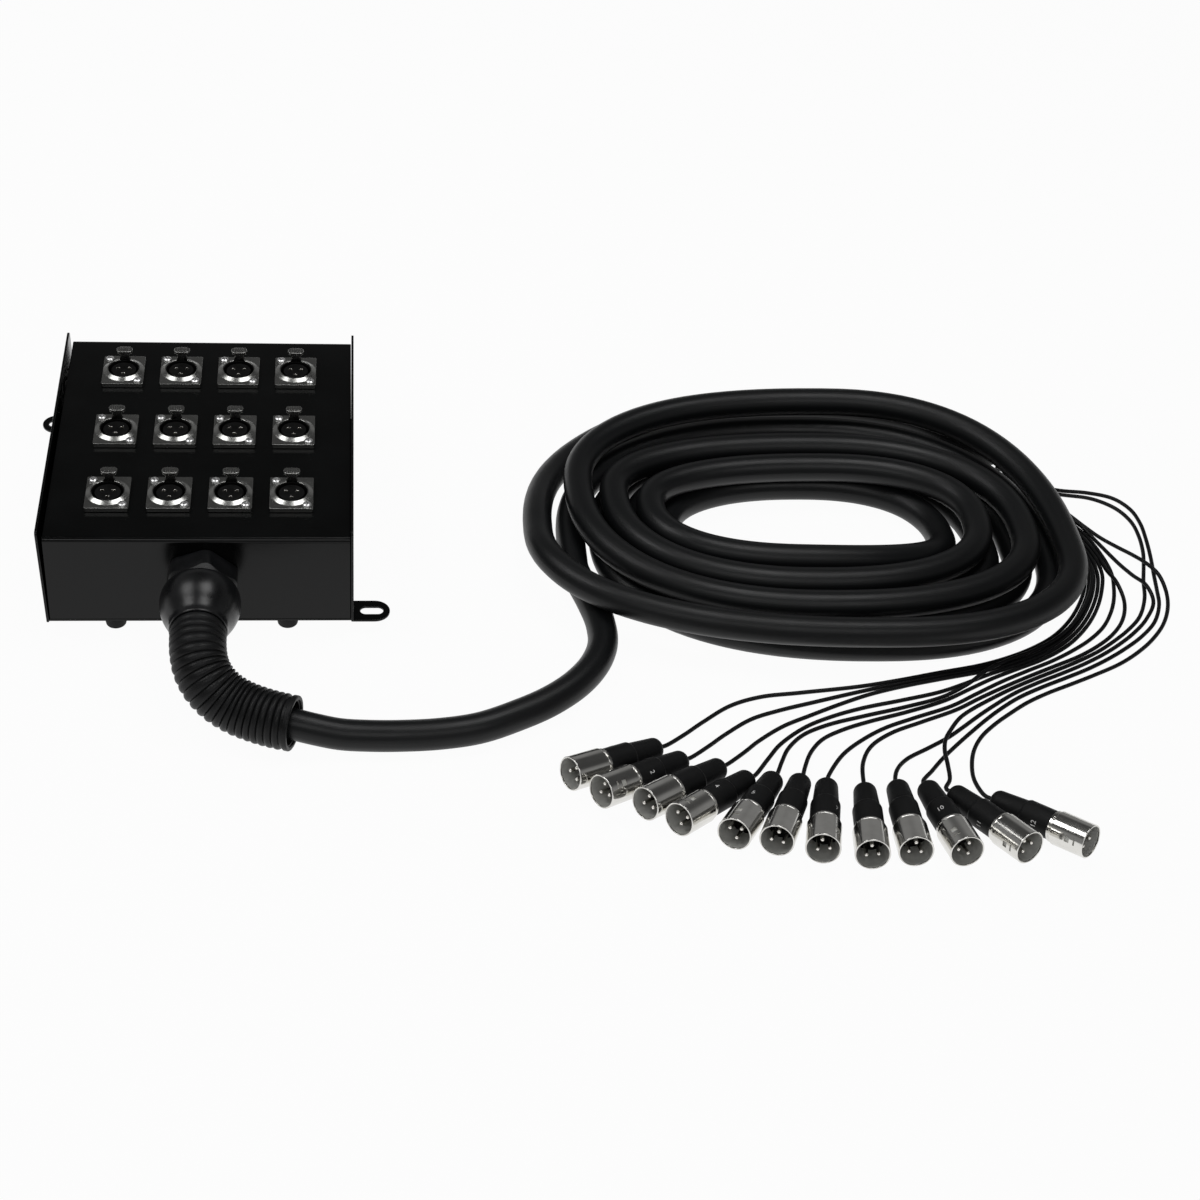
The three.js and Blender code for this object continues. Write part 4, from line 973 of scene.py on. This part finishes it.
def trunk_line():
    """The whole trunk, from inside the box to the boot."""
    end, heading = coil_end()
    tip = end + heading * bpy.context.scene.snake_cable.trunk
    return evenly([*smooth_line(millimetres(TRUNK_ROUTE)), *coil_line(COIL_STEPS), tip], spacing=4 * MM)


def tail_line(k):
    return evenly(smooth_line(millimetres(TAIL_ROUTES[k])), spacing=2 * MM)


class SNAKE_OT_camera(Operator):
    """Set the camera where the photograph was taken from"""

    bl_idname = "snake.camera"
    bl_label = "Camera"

    def execute(self, context):
        forward = Vector((
            sin(CAMERA_AZIMUTH) * cos(CAMERA_DIP), cos(CAMERA_AZIMUTH) * cos(CAMERA_DIP), -sin(CAMERA_DIP),
        ))
        level = Vector((cos(CAMERA_AZIMUTH), -sin(CAMERA_AZIMUTH), 0))
        upright = level.cross(forward)
        right = cos(CAMERA_ROLL) * level + sin(CAMERA_ROLL) * upright
        up = cos(CAMERA_ROLL) * upright - sin(CAMERA_ROLL) * level
        data = bpy.data.cameras.new("camera")
        data.lens = CAMERA_LENS
        data.sensor_width = CAMERA_SENSOR
        data.clip_start, data.clip_end = CAMERA_CLIP
        camera = bpy.data.objects.new("camera", data)
        context.scene.collection.objects.link(camera)
        turn = Matrix((right, up, -forward)).transposed().to_4x4()
        camera.matrix_world = Matrix.Translation(CAMERA_PLACE) @ turn
        context.scene.camera = camera
        return {"FINISHED"}


class SNAKE_OT_trunk(Operator):
    """Lay the trunk cable from the gland through the hose and round its coil"""

    bl_idname = "snake.trunk"
    bl_label = "Trunk Cable"

    def execute(self, context):
        sizes = context.scene.snake_cable
        mesh = tube(trunk_line(), sizes.trunk / 2, sides=28)
        piece = piece_from("trunk_cable", [(mesh, trunk_jacket())])
        settle(piece, "box", "trunk_lead", "trunk_coil")
        return {"FINISHED"}


class SNAKE_OT_tails(Operator):
    """Lay the twelve tails from the boot to the plugs"""

    bl_idname = "snake.tails"
    bl_label = "Tails"

    def execute(self, context):
        sizes = context.scene.snake_cable
        for k, number in enumerate(NUMBERS):
            mesh = tube(tail_line(k), sizes.tail / 2, sides=12)
            piece = piece_from(f"thin_tail_{number}", [(mesh, tail_jacket())])
            settle(piece, "box", f"tail_{number}")
        return {"FINISHED"}


class SNAKE_OT_cover(Operator):
    """Bend the cover from one sheet and cut its holes"""

    bl_idname = "snake.cover"
    bl_label = "Cover"

    def execute(self, context):
        sizes = context.scene.snake_box
        sockets = context.scene.snake_socket
        low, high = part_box("top_cover")
        inner = sizes.bend - sizes.sheet
        top, sheet = high.z, sizes.sheet
        outline = rounded([
            (high.y, low.z, 0), (high.y, top, sizes.bend), (low.y, top, sizes.bend), (low.y, low.z, 0),
            (low.y + sheet, low.z, 0), (low.y + sheet, top - sheet, inner),
            (high.y - sheet, top - sheet, inner), (high.y - sheet, low.z, 0),
        ], steps=8)
        mesh = plate(outline, high.x - low.x, sizes.edge)
        mesh.transform(Matrix.Translation((low.x, 0, 0)) @ UPRIGHT)
        cutouts = in_socket_rows(drill(sockets.shell + 2 * sizes.cutout_gap), None)
        gland = drill(sizes.gland_hole)
        hub = middle("gland_body")
        gland.transform(Matrix.Translation((hub.x, low.y, hub.z)) @ TO_FRONT)
        mesh = carved(mesh, cutouts, gland)
        piece = piece_from("cover_sheet", [(mesh, box_paint())])
        settle(piece, "box", "top_cover")
        return {"FINISHED"}


class SNAKE_OT_tray(Operator):
    """Make the base tray with its cheeks and fixing ears"""

    bl_idname = "snake.tray"
    bl_label = "Base Tray"

    def execute(self, context):
        sizes = context.scene.snake_box
        low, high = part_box("base_tray")
        cover_low, cover_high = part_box("top_cover")
        half = high.x - sizes.ear_reach
        corner = sizes.cheek_corner
        side = rounded([
            (low.y, low.z, 0.8 * MM), (high.y, low.z, 0.8 * MM), (high.y, high.z, corner),
            (low.y, high.z, corner),
        ], steps=8)
        cheek = plate(side, sizes.sheet, sizes.edge)
        right = placed(cheek, Matrix.Translation((half - sizes.sheet, 0, 0)) @ UPRIGHT)
        lean = Matrix.Identity(4)
        lean[0][2] = -sizes.cheek_lean / (high.z - low.z)
        lean[0][3] = -lean[0][2] * low.z
        left = placed(cheek, lean @ Matrix.Translation((-half, 0, 0)) @ UPRIGHT)
        inside = half - sizes.sheet / 2
        floor = block(
            (-inside, cover_low.y, low.z), (inside, cover_high.y, low.z + sizes.sheet), edge=0.2 * MM,
        )
        y = cover_high.y - sizes.ear_inset
        parts = [right, left, floor, self.ear(sizes, half, -y, low.z), self.ear(sizes, half, -y, low.z, pi)]
        piece = piece_from("tray_sheet", [(part, box_paint()) for part in parts])
        settle(piece, "box", "base_tray")
        return {"FINISHED"}

    def ear(self, sizes, half, y, height, turn=0.0):
        """A fixing ear with a round end and a slot."""
        tip = half + sizes.ear_reach
        root = half - sizes.sheet / 2
        wide, slim = sizes.ear_width / 2, sizes.slot_width / 2
        centre = tip - wide
        front = [radians(10 * k - 90) for k in range(19)]
        back = [radians(10 * k + 90) for k in range(19)]
        outline = [Vector((root, y - wide))]
        outline += [Vector((centre + wide * cos(a), y + wide * sin(a))) for a in front]
        outline.append(Vector((root, y + wide)))
        reach = (sizes.slot_length - sizes.slot_width) / 2
        slot = [
            Vector((centre - reach / 2 + end + slim * cos(a), y + slim * sin(a)))
            for end, turns in ((reach, front), (-reach, back)) for a in turns
        ]
        mesh = plate(outline, sizes.sheet, sizes.edge, [slot])
        return placed(mesh, Matrix.Rotation(turn, 4, "Z") @ Matrix.Translation((0, 0, height)))


class SNAKE_OT_feet(Operator):
    """Set the four rubber feet under the tray"""

    bl_idname = "snake.feet"
    bl_label = "Feet"

    def execute(self, context):
        low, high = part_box("foot_front_left")
        radius, height = (high.x - low.x) / 2, high.z - low.z
        tip, screw, deep = radius - 1 * MM, 3.4 * MM, 2.2 * MM
        profile = rounded([
            (0, deep, 0), (screw, deep, 0.3 * MM), (screw, 0, 0.5 * MM), (tip, 0, 1.4 * MM),
            (radius, height, 0.6 * MM), (0, height, 0),
        ])
        foot = turned(profile, sides=40)
        far = middle("foot_rear_right")
        near = middle("foot_front_left")
        rows = in_rows(foot, foot_rubber(), 2, 2, far.x - near.x, far.y - near.y, Vector((0, 0, 0)))
        piece = piece_from("rubber_feet", [(rows, foot_rubber())])
        settle(piece, "box", "foot_front_left", "foot_front_right", "foot_rear_left", "foot_rear_right")
        return {"FINISHED"}


class SNAKE_OT_sockets(Operator):
    """Set the sockets in rows: flanges with collars, inserts, contacts and screws"""

    bl_idname = "snake.sockets"
    bl_label = "Sockets"

    def execute(self, context):
        sizes = context.scene.snake_socket
        count = sizes.columns * sizes.rows
        nodes = [f"socket_{number}" for number in NUMBERS[:count]]
        for name, mesh, material, stands_for in (
            ("socket_shells", self.shell(sizes), socket_nickel(), nodes),
            # The inserts' piece also holds the black liners in the bores, which are painted shade
            ("socket_inserts", self.insert(sizes), insert_plastic(), []),
            ("socket_contacts", self.contacts(sizes), pin_nickel(), []),
            ("flange_screws", self.screws(sizes), screw_steel(), []),
        ):
            piece = piece_from(name, [(in_socket_rows(mesh, material), material)])
            settle(piece, "box", *stands_for)
        return {"FINISHED"}

    def shell(self, sizes):
        """The flange with its raised collar and the shell under the lid, cut for the release tab."""
        thick = sizes.flange_thick
        rim = thick + sizes.collar_height
        bore, shell = sizes.bore / 2, sizes.shell / 2
        foot, top = sizes.collar_base / 2, sizes.collar_rim / 2 + 0.2 * MM
        overlap, gap, reach = 0.6 * MM, 0.35 * MM, 14 * MM
        outline = oblong(sizes.flange_width, sizes.flange_depth, sizes.flange_corner)
        flange = plate(outline, thick, edge=0.22 * MM, holes=[circle(sizes.collar_base - 2 * overlap)])
        bottom = rim - sizes.depth - 2.5 * MM
        profile = rounded([
            (bore, bottom, 0), (shell, bottom, 0.5 * MM), (shell, 0, 0), (foot - 0.2 * MM, 0.2 * MM, 0),
            (foot, thick + 0.1 * MM, 0.1 * MM), (top, rim, 0.25 * MM), (bore, rim, 0.3 * MM),
        ])
        collar = turned(profile, sides=72, closed=True)
        half = sizes.neck / 2 + gap
        notch = block((-half, bore - 1.5 * MM, -3 * MM), (half, reach, rim + 1 * MM))
        return joined([carved(flange, notch), carved(collar, notch)])

    def insert(self, sizes):
        """The plastic insert with its contact holes and the groove's floor, and a black sheet over the bore's
        wall as painted shade.
        """
        top = sizes.flange_thick + sizes.collar_height - sizes.recess
        holes = [circle(sizes.contact_hole, sides=20, centre=place) for place in self.contact_places(sizes)]
        deep = sizes.depth - sizes.recess
        bottom, wall = top - deep, sizes.bore / 2
        face = plate(circle(sizes.insert), deep, edge=0.35 * MM, holes=holes)
        face.transform(Matrix.Translation((0, 0, bottom)))
        low, high = bottom - 2 * MM, bottom + 0.4 * MM
        floor = turned(rounded([(0, low, 0), (wall, low, 0), (wall, high, 0), (0, high, 0)]), sides=48)
        # A black sheet over the bore's metal wall, painted shade for the dark inside of the bore; it also
        # shows black through the tab's notch
        rim = sizes.flange_thick + sizes.collar_height - 0.9 * MM
        inner, outer = wall - 0.3 * MM, wall + 0.05 * MM
        liner = turned([(inner, bottom), (outer, bottom), (outer, rim), (inner, rim)], closed=True)
        return joined([face, floor, liner])

    def contact_places(self, sizes):
        turns = (radians(-90 + 120 * k) for k in range(3))
        return [Vector((cos(turn), sin(turn))) * sizes.contact_circle / 2 for turn in turns]

    def contacts(self, sizes):
        top = sizes.flange_thick + sizes.collar_height - sizes.recess - 0.5 * MM
        bottom = top - 7 * MM
        outer = sizes.contact_hole / 2 - 0.02 * MM
        inner = outer - 0.35 * MM
        sleeve = turned(rounded([
            (inner, bottom, 0), (outer, bottom, 0), (outer, top, 0.15 * MM), (inner, top, 0.15 * MM),
        ], steps=3), sides=20, closed=True)
        return joined([placed(sleeve, Matrix.Translation((p.x, p.y, 0))) for p in self.contact_places(sizes)])

    def screws(self, sizes):
        head = screw_mesh(sizes.screw_head, 1.5 * MM)
        x = sizes.flange_width / 2 - sizes.screw_inset
        y = sizes.flange_depth / 2 - sizes.screw_inset
        return joined([
            placed(head, Matrix.Translation((side * x, -side * y, sizes.flange_thick))
                   @ Matrix.Rotation(radians(20 + 35 * side), 4, "Z"))
            for side in (-1, 1)
        ])


def screw_mesh(diameter, height):
    """A pan head with a cross recess, its seat at zero."""
    radius, sunk, wide = diameter / 2, 0.3 * MM, 0.45 * MM
    head = turned(rounded([
        (0, -sunk, 0), (radius, -sunk, 0), (radius, 0.55 * height, 0.3 * height),
        (radius * 0.62, height * 0.95, 0.2 * height), (0, height, 0),
    ]), sides=32)
    long, deep, over = diameter * 0.31, 0.45 * height, height * 2
    first = block((-long, -wide, deep), (long, wide, over))
    second = block((-wide, -long, deep), (wide, long, over))
    return carved(head, first, second)


class SNAKE_OT_latches(Operator):
    """Make the release tab of each socket"""

    bl_idname = "snake.latches"
    bl_label = "Release Tabs"

    def execute(self, context):
        for number in NUMBERS:
            low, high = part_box(f"latch_{number}")
            place = Matrix.Translation(((low.x + high.x) / 2, high.y, high.z))
            tab = placed(self.tab(low, high), place)
            piece = piece_from(f"release_tab_{number}", [(tab, latch_nickel())])
            settle(piece, f"release_tab_{number}", f"latch_{number}")
        return {"FINISHED"}

    def tab(self, low, high):
        """A tab with its back upper edge at the origin."""
        found = bpy.data.meshes.get("tab master")
        if found:
            return found
        wide, deep, thick = high.x - low.x, 6 * MM, 2 * MM
        bottom, foot_top = low.z - high.z, low.z - high.z + 3 * MM
        front, back, edge = -deep + 0.9 * MM, -deep + 3.1 * MM, 0.3 * MM
        neck_half, foot_half = 3 * MM, 4.2 * MM
        outline = oblong(wide, deep, corner=2.4 * MM, steps=8)
        head = placed(plate(outline, thick, edge=0.5 * MM), Matrix.Translation((0, -deep / 2, -thick)))
        rib_thick, ribs_at = 0.7 * MM, Vector((0, -deep / 2, -0.35 * MM))
        outline = oblong(0.55 * MM, 0.55 * deep, corner=0.2 * MM, steps=3)
        rib = plate(outline, rib_thick, edge=0.18 * MM)
        ribs = in_rows(rib, None, columns=5, rows=1, pitch_across=1.35 * MM, pitch_deep=0, centre=ribs_at)
        neck = block((-neck_half, front, bottom), (neck_half, back, -thick / 2), edge)
        foot = block((-foot_half, front, bottom), (foot_half, back, foot_top), edge)
        master = joined([head, ribs, neck, foot])
        master.name = "tab master"
        return master


# The dome's outline from the hexagon to the hose, as shares of its largest radius and its length
DOME_SHARES = [
    (0.8, 0), (0.95, 0.07), (1, 0.2), (1, 0.33), (0.965, 0.47), (0.895, 0.61), (0.8, 0.75), (0.735, 0.87),
    (0.715, 0.985),
]


class SNAKE_OT_gland(Operator):
    """Make the gland's hexagon and its domed nut"""

    bl_idname = "snake.gland"
    bl_label = "Gland"

    def execute(self, context):
        sizes = context.scene.snake_box
        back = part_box("gland_body")[1].y
        centre = middle("gland_nut")
        lay = Matrix.Translation((centre.x, back, centre.z)) @ TO_FRONT
        bore, thread, past = sizes.gland_bore / 2, sizes.gland_thread / 2, 1 * MM
        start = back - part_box("top_cover")[0].y + 0.3 * MM
        hexagon = self.hexagon(sizes)
        hexagon.transform(Matrix.Translation((0, 0, start)))
        sleeve = turned([(bore, 0), (thread, 0), (thread, start + past), (bore, start + past)], closed=True)
        mesh = placed(joined([hexagon, sleeve]), lay)
        settle(piece_from("gland_hexagon", [(mesh, gland_nylon())]), "box", "gland_body")
        dome = self.dome(sizes, centre)
        settle(piece_from("gland_dome", [(dome, gland_nylon())]), "box", "gland_nut")
        return {"FINISHED"}

    def hexagon(self, sizes):
        """The hexagon with rounded corners and a turned chamfer at its front."""
        reach, front = sizes.gland_hex / 2, sizes.gland_hex_thick
        turns = (radians(60 * k + sizes.gland_turn) for k in range(6))
        outline = rounded([(reach * cos(a), reach * sin(a), 7 * MM) for a in turns], steps=8)
        body = plate(outline, front, edge=0.4 * MM, holes=[circle(sizes.gland_bore, sides=48)])
        flat, past, wide = 0.83 * reach, 1 * MM, 9 * MM
        chamfer = turned([
            (flat - past, front + past), (flat + wide, front + past), (flat + wide, front - wide),
        ], sides=96, closed=True)
        return carved(body, chamfer)

    def dome(self, sizes, centre):
        low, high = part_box("gland_nut")
        wide, bore = (high.x - low.x) / 2, sizes.gland_bore / 2
        long = high.y - low.y
        bulge = smooth_line([Vector((a * wide, b * long)) for a, b in DOME_SHARES], 5)
        lip = Vector((bulge[-1].x - 0.4 * MM, long))
        mesh = turned([(bore, 0), *bulge, lip, (bore, long)], sides=96, closed=True)
        mesh.transform(Matrix.Translation((centre.x, high.y, centre.z)) @ TO_FRONT)
        return mesh


class SNAKE_OT_hose(Operator):
    """Bend the ribbed hose over the trunk"""

    bl_idname = "snake.hose"
    bl_label = "Corrugated Hose"

    def execute(self, context):
        sizes = context.scene.snake_cable
        line = evenly(smooth_line(millimetres(HOSE_ROUTE)), spacing=2 * MM)
        long = length_of(line)
        curve = bpy.data.curves.new("hose route", "CURVE")
        curve.dimensions = "3D"
        spline = curve.splines.new("POLY")
        spline.points.add(len(line) - 1)
        for point, place in zip(spline.points, line):
            point.co = (*place, 1)
        route = bpy.data.objects.new("hose route", curve)
        context.scene.collection.objects.link(route)
        straight = holder_for(self.straight(sizes, long))
        mesh = grown(route_tree(), piece=straight, route=route, length=long, material=hose_nylon())
        bpy.data.objects.remove(straight)
        bpy.data.objects.remove(route)
        piece = piece_from("ribbed_hose", [(mesh, hose_nylon())], crease=60)
        settle(piece, "box", "corrugated_hose")
        return {"FINISHED"}

    def straight(self, sizes, long):
        """The hose before it is bent: ribs, then a plain cuff at the cable's end."""
        crest, valley, bore = sizes.hose_crest / 2, sizes.hose_valley / 2, sizes.hose_bore / 2
        cuff, cuff_wide, inner_rings = 5 * MM, crest - 0.2 * MM, 24
        ribbed = long - cuff
        steps = 12 * sizes.hose_ribs
        profile = []
        for k in range(steps + 1):
            wave = abs(sin(pi * sizes.hose_ribs * k / steps)) ** 0.6
            profile.append(Vector((valley + (crest - valley) * wave, ribbed * k / steps)))
        profile += rounded([
            (cuff_wide, ribbed + 0.8 * MM, 0.5 * MM), (cuff_wide, long, 0.9 * MM), (bore, long, 0.7 * MM),
        ])
        for k in range(inner_rings):
            profile.append(Vector((bore, (long - 1.5 * MM) * (1 - k / (inner_rings - 1)))))
        return turned(profile, sides=56, closed=True)


class SNAKE_OT_boot(Operator):
    """Make the boot where the trunk splits into tails"""

    bl_idname = "snake.boot"
    bl_label = "Breakout Boot"

    def execute(self, context):
        end, heading = coil_end()
        trunk = context.scene.snake_cable.trunk
        # The share of the trunk's last straight bit that stays bare before the boot
        bare, reach = 0.6, 34.3 * MM
        start = end + heading * trunk * bare
        long = trunk * (1 - bare) + reach
        back, front = trunk / 2 + 0.45 * MM, 7.8 * MM
        profile = rounded([
            (0, 0, 0), (back - 0.1 * MM, 0, 0.4 * MM), (back, 0.35 * long, 3 * MM),
            (front, 0.92 * long, 2 * MM), (front - 2.4 * MM, long, 1 * MM), (0, long, 0),
        ], steps=6)
        mesh = turned(profile)
        turn = Vector((0, 0, 1)).rotation_difference(heading).to_matrix().to_4x4()
        mesh.transform(Matrix.Translation(start) @ turn)
        piece = piece_from("split_boot", [(mesh, boot_rubber())])
        settle(piece, "box", "breakout_boot")
        return {"FINISHED"}


class SNAKE_OT_plugs(Operator):
    """Make the cable plug of each tail, with its number"""

    bl_idname = "snake.plugs"
    bl_label = "Cable Plugs"

    def execute(self, context):
        sizes = context.scene.snake_plug
        boot, shell, liner = self.boot(sizes), self.shell(sizes), self.liner(sizes)
        insert, pins = self.insert(sizes), self.pins(sizes)
        for k, number in enumerate(NUMBERS):
            tip, inside = (Vector(p) * MM for p in TAIL_ROUTES[k][-2:])
            axis = (inside - tip).normalized()
            across = axis.cross(Vector((0, 0, 1))).normalized()
            turn = Matrix((-across, across.cross(axis), axis)).transposed().to_4x4()
            place = Matrix.Translation(tip) @ turn
            roll = place @ Matrix.Rotation(radians(PLUG_ROLLS[k]), 4, "Z")
            parts = [
                (placed(boot, place), boot_rubber()), (placed(shell, roll), plug_nickel()),
                (placed(liner, roll), bare_bore()), (placed(insert, roll), insert_plastic()),
                (placed(pins, roll), pin_nickel()),
                (placed(self.mark(sizes, str(k + 1)), roll), number_ink()),
            ]
            settle(piece_from(f"cable_plug_{number}", parts), "box", f"plug_{number}")
        return {"FINISHED"}

    def boot(self, sizes):
        long, step = sizes.boot_length, sizes.boot_length - sizes.collar_length
        hole = bpy.context.scene.snake_cable.tail / 2 + 0.1 * MM
        wide, collar = sizes.boot / 2, sizes.collar / 2
        return turned(rounded([
            (hole, 0, 0), (sizes.boot_tip / 2, 0, 4.6 * MM), (wide, step, 0.2 * MM),
            (collar - 0.5 * MM, step + 0.1 * MM, 0.2 * MM), (collar, step + 1.2 * MM, 0.6 * MM),
            (collar, long, 0.3 * MM), (hole, long, 0),
        ], steps=8), sides=56, closed=True)

    def shell(self, sizes):
        start, mouth = sizes.boot_length, sizes.boot_length + sizes.shell_length
        wide, cavity = sizes.shell / 2, sizes.cavity / 2
        floor = mouth - sizes.cavity_depth
        inner, neck, groove = cavity - 1 * MM, wide - 0.7 * MM, wide - 1.1 * MM
        end, past = floor - 0.5 * MM, wide + 1 * MM
        profile = rounded([
            (inner, start + 0.2 * MM, 0), (neck, start + 0.2 * MM, 0.3 * MM),
            (neck, start + 1.6 * MM, 0.2 * MM), (groove, start + 1.9 * MM, 0.15 * MM),
            (groove, start + 2.5 * MM, 0.15 * MM), (wide, start + 3 * MM, 0.4 * MM),
            (wide, mouth, 0.35 * MM), (cavity, mouth, 0.3 * MM), (cavity, end, 0), (inner, end, 0),
        ], steps=4)
        window_half, slit_half = 1.7 * MM, 2.1 * MM
        window = block((-window_half, inner, mouth - 11.5 * MM), (window_half, past, mouth - 8.6 * MM))
        slit = block((-slit_half, inner, mouth - 6 * MM), (slit_half, past, mouth - 5 * MM))
        return carved(turned(profile, sides=72, closed=True), window, slit)

    def liner(self, sizes):
        """The bare inside of the shell, as a thin lining with its own finish."""
        mouth, wall = sizes.boot_length + sizes.shell_length, sizes.cavity / 2
        start, rim = mouth - sizes.cavity_depth - 0.4 * MM, mouth - 0.9 * MM
        inner, outer = wall - 0.15 * MM, wall + 0.05 * MM
        return turned([(inner, start), (outer, start), (outer, rim), (inner, rim)], sides=72, closed=True)

    def insert(self, sizes):
        floor = sizes.boot_length + sizes.shell_length - sizes.cavity_depth
        wide, low, bottom = sizes.cavity / 2 - 0.2 * MM, floor - 0.5 * MM, floor - 3 * MM
        return turned(rounded([
            (0, bottom, 0), (wide, bottom, 0), (wide, floor, 0.3 * MM), (wide - 0.9 * MM, floor, 0.2 * MM),
            (wide - 1.1 * MM, low, 0.2 * MM), (0, low, 0),
        ], steps=3), sides=48)

    def pins(self, sizes):
        floor = sizes.boot_length + sizes.shell_length - sizes.cavity_depth
        radius, ring, root = sizes.pin / 2, sizes.pin_circle / 2, floor - 1 * MM
        tip = floor + sizes.pin_length
        pin = turned(rounded([
            (0, root, 0), (radius, root, 0), (radius, tip, radius * 0.8), (0, tip, 0),
        ], steps=6), sides=24)
        turns = [radians(120 * k - 90) for k in range(3)]
        return joined([placed(pin, Matrix.Translation((ring * cos(a), ring * sin(a), 0))) for a in turns])

    def mark(self, sizes, text):
        """A number wrapped round the top of the boot, its feet towards the shell."""
        curve = bpy.data.curves.new("mark", "FONT")
        curve.body = text
        curve.size = 4.4 * MM
        curve.align_x = "CENTER"
        curve.align_y = "CENTER"
        curve.extrude = 0.1 * MM
        holder = bpy.data.objects.new("mark", curve)
        bpy.context.scene.collection.objects.link(holder)
        mesh = evaluated_mesh(holder)
        bpy.data.objects.remove(holder)
        radius = sizes.collar / 2
        height = sizes.boot_length - 0.45 * sizes.collar_length
        for vertex in mesh.vertices:
            x, y, z = vertex.co
            reach = radius + z
            vertex.co = (reach * sin(x / radius), reach * cos(x / radius), height - y)
        return upright_faces(mesh)


class SNAKE_OT_cords(Operator):
    """Do nothing; the routes and ends of the trunk and the tails are not stated here"""

    bl_idname = "snake.cords"
    bl_label = "Cord Records"

    def execute(self, context):
        return {"FINISHED"}


# Lamps: name, place, aim and size in metres, and power in watts
LAMPS = [
    ("left softbox", (-0.85, 0.12, 1.5), (-0.05, 0, 0), (0.7, 0.7), 8),
    ("right softbox", (0.46, 0.12, 1.5), (0.25, 0, 0), (0.6, 0.7), 7),
    ("front softbox", (0.2, -1.5, 1.6), (0.2, 0, 0), (2.2, 0.5), 9),
]
FLOOR_REACH = 60
FLOOR_TONE = (0.6, 0.6, 0.6, 1)
FLOOR_GLOW = 0.96
# The sky is a little brighter low down than overhead, and white to the camera
SKY_GLOW = 0.98
SKY_FADE = {"From Min": 0.4, "From Max": 0.6, "To Min": 0.22, "To Max": 0.05}
WHITE = (1, 1, 1, 1)


class SNAKE_OT_stage(Operator):
    """Set the pale floor, the sky and the studio lamps"""

    bl_idname = "snake.stage"
    bl_label = "Stage"

    def execute(self, context):
        self.floor()
        self.sky(context.scene)
        for lamp in LAMPS:
            self.lamp(*lamp)
        context.scene.view_settings.view_transform = "Standard"
        return {"FINISHED"}

    def floor(self):
        material = bpy.data.materials.new("pale_floor")
        material.use_nodes = True
        tree = material.node_tree
        shader = tree.nodes["Principled BSDF"]
        feed(tree, shader, {"Base Color": FLOOR_TONE, "Roughness": 0.9, "Specular IOR Level": 0.1})
        glow = node(tree, "ShaderNodeEmission", {"Color": WHITE})
        path = node(tree, "ShaderNodeLightPath").outputs
        seen = maths(tree, "MAXIMUM", path["Is Camera Ray"], path["Is Glossy Ray"])
        passed = maths(tree, "MAXIMUM", seen, path["Is Transmission Ray"])
        amount = maths(tree, "MULTIPLY", passed, FLOOR_GLOW)
        blend = node(tree, "ShaderNodeMixShader", {0: amount, 1: shader.outputs[0], 2: glow.outputs[0]})
        feed(tree, tree.nodes["Material Output"], {"Surface": blend.outputs[0]})
        far = FLOOR_REACH
        sheet = mesh_from([(-far, -far, 0), (far, -far, 0), (far, far, 0), (-far, far, 0)], [(0, 1, 2, 3)])
        sheet.materials.append(material)
        floor = holder_for(sheet, "floor")

    def sky(self, scene):
        world = bpy.data.worlds.new("studio")
        world.use_nodes = True
        tree = world.node_tree
        where = node(tree, "ShaderNodeTexCoord")
        apart = node(tree, "ShaderNodeSeparateXYZ", {0: where.outputs["Generated"]})
        fade = node(tree, "ShaderNodeMapRange", {"Value": apart.outputs["Z"], **SKY_FADE},
                    interpolation_type="SMOOTHSTEP")
        path = node(tree, "ShaderNodeLightPath")
        behind = maths(tree, "MULTIPLY", path.outputs["Is Camera Ray"], SKY_GLOW)
        strength = maths(tree, "MAXIMUM", fade.outputs["Result"], behind)
        feed(tree, tree.nodes["Background"], {"Strength": strength, "Color": WHITE})
        scene.world = world

    def lamp(self, name, place, aim, sizes, energy):
        data = bpy.data.lights.new(name, "AREA")
        data.shape = "RECTANGLE"
        data.size, data.size_y = sizes
        data.energy = energy
        lamp = bpy.data.objects.new(name, data)
        bpy.context.scene.collection.objects.link(lamp)
        turn = (Vector(aim) - Vector(place)).to_track_quat("-Z", "Y").to_matrix().to_4x4()
        lamp.matrix_world = Matrix.Translation(place) @ turn


OPERATORS = (
    SNAKE_OT_camera, SNAKE_OT_trunk, SNAKE_OT_tails, SNAKE_OT_cover, SNAKE_OT_tray, SNAKE_OT_feet,
    SNAKE_OT_sockets, SNAKE_OT_latches, SNAKE_OT_gland, SNAKE_OT_hose, SNAKE_OT_boot, SNAKE_OT_plugs,
    SNAKE_OT_cords, SNAKE_OT_stage,
)
SETTINGS = {
    "snake_box": BoxSizes,
    "snake_socket": SocketSizes,
    "snake_cable": CableSizes,
    "snake_plug": PlugSizes,
    "snake_finish": Finishes,
}


class SNAKE_PT_panel(Panel):
    """Sizes, colours and the operators that build the snake"""

    bl_label = "Stage Box Snake"
    bl_space_type = "VIEW_3D"
    bl_region_type = "UI"
    bl_category = "Snake"

    def draw(self, context):
        for operator in OPERATORS:
            self.layout.operator(operator.bl_idname)
        for name, group in SETTINGS.items():
            box = self.layout.box()
            for key in group.__annotations__:
                box.prop(getattr(context.scene, name), key)


def register():
    for group in SETTINGS.values():
        bpy.utils.register_class(group)
    for name, group in SETTINGS.items():
        setattr(bpy.types.Scene, name, PointerProperty(type=group))
    for operator in OPERATORS:
        bpy.utils.register_class(operator)
    bpy.utils.register_class(SNAKE_PT_panel)


def unregister():
    bpy.utils.unregister_class(SNAKE_PT_panel)
    for operator in reversed(OPERATORS):
        bpy.utils.unregister_class(operator)
    for name, group in SETTINGS.items():
        delattr(bpy.types.Scene, name)
        bpy.utils.unregister_class(group)


def main():
    register()
    for operator in OPERATORS:
        group, name = operator.bl_idname.split(".")
        getattr(getattr(bpy.ops, group), name)()


if __name__ == "__main__":
    main()
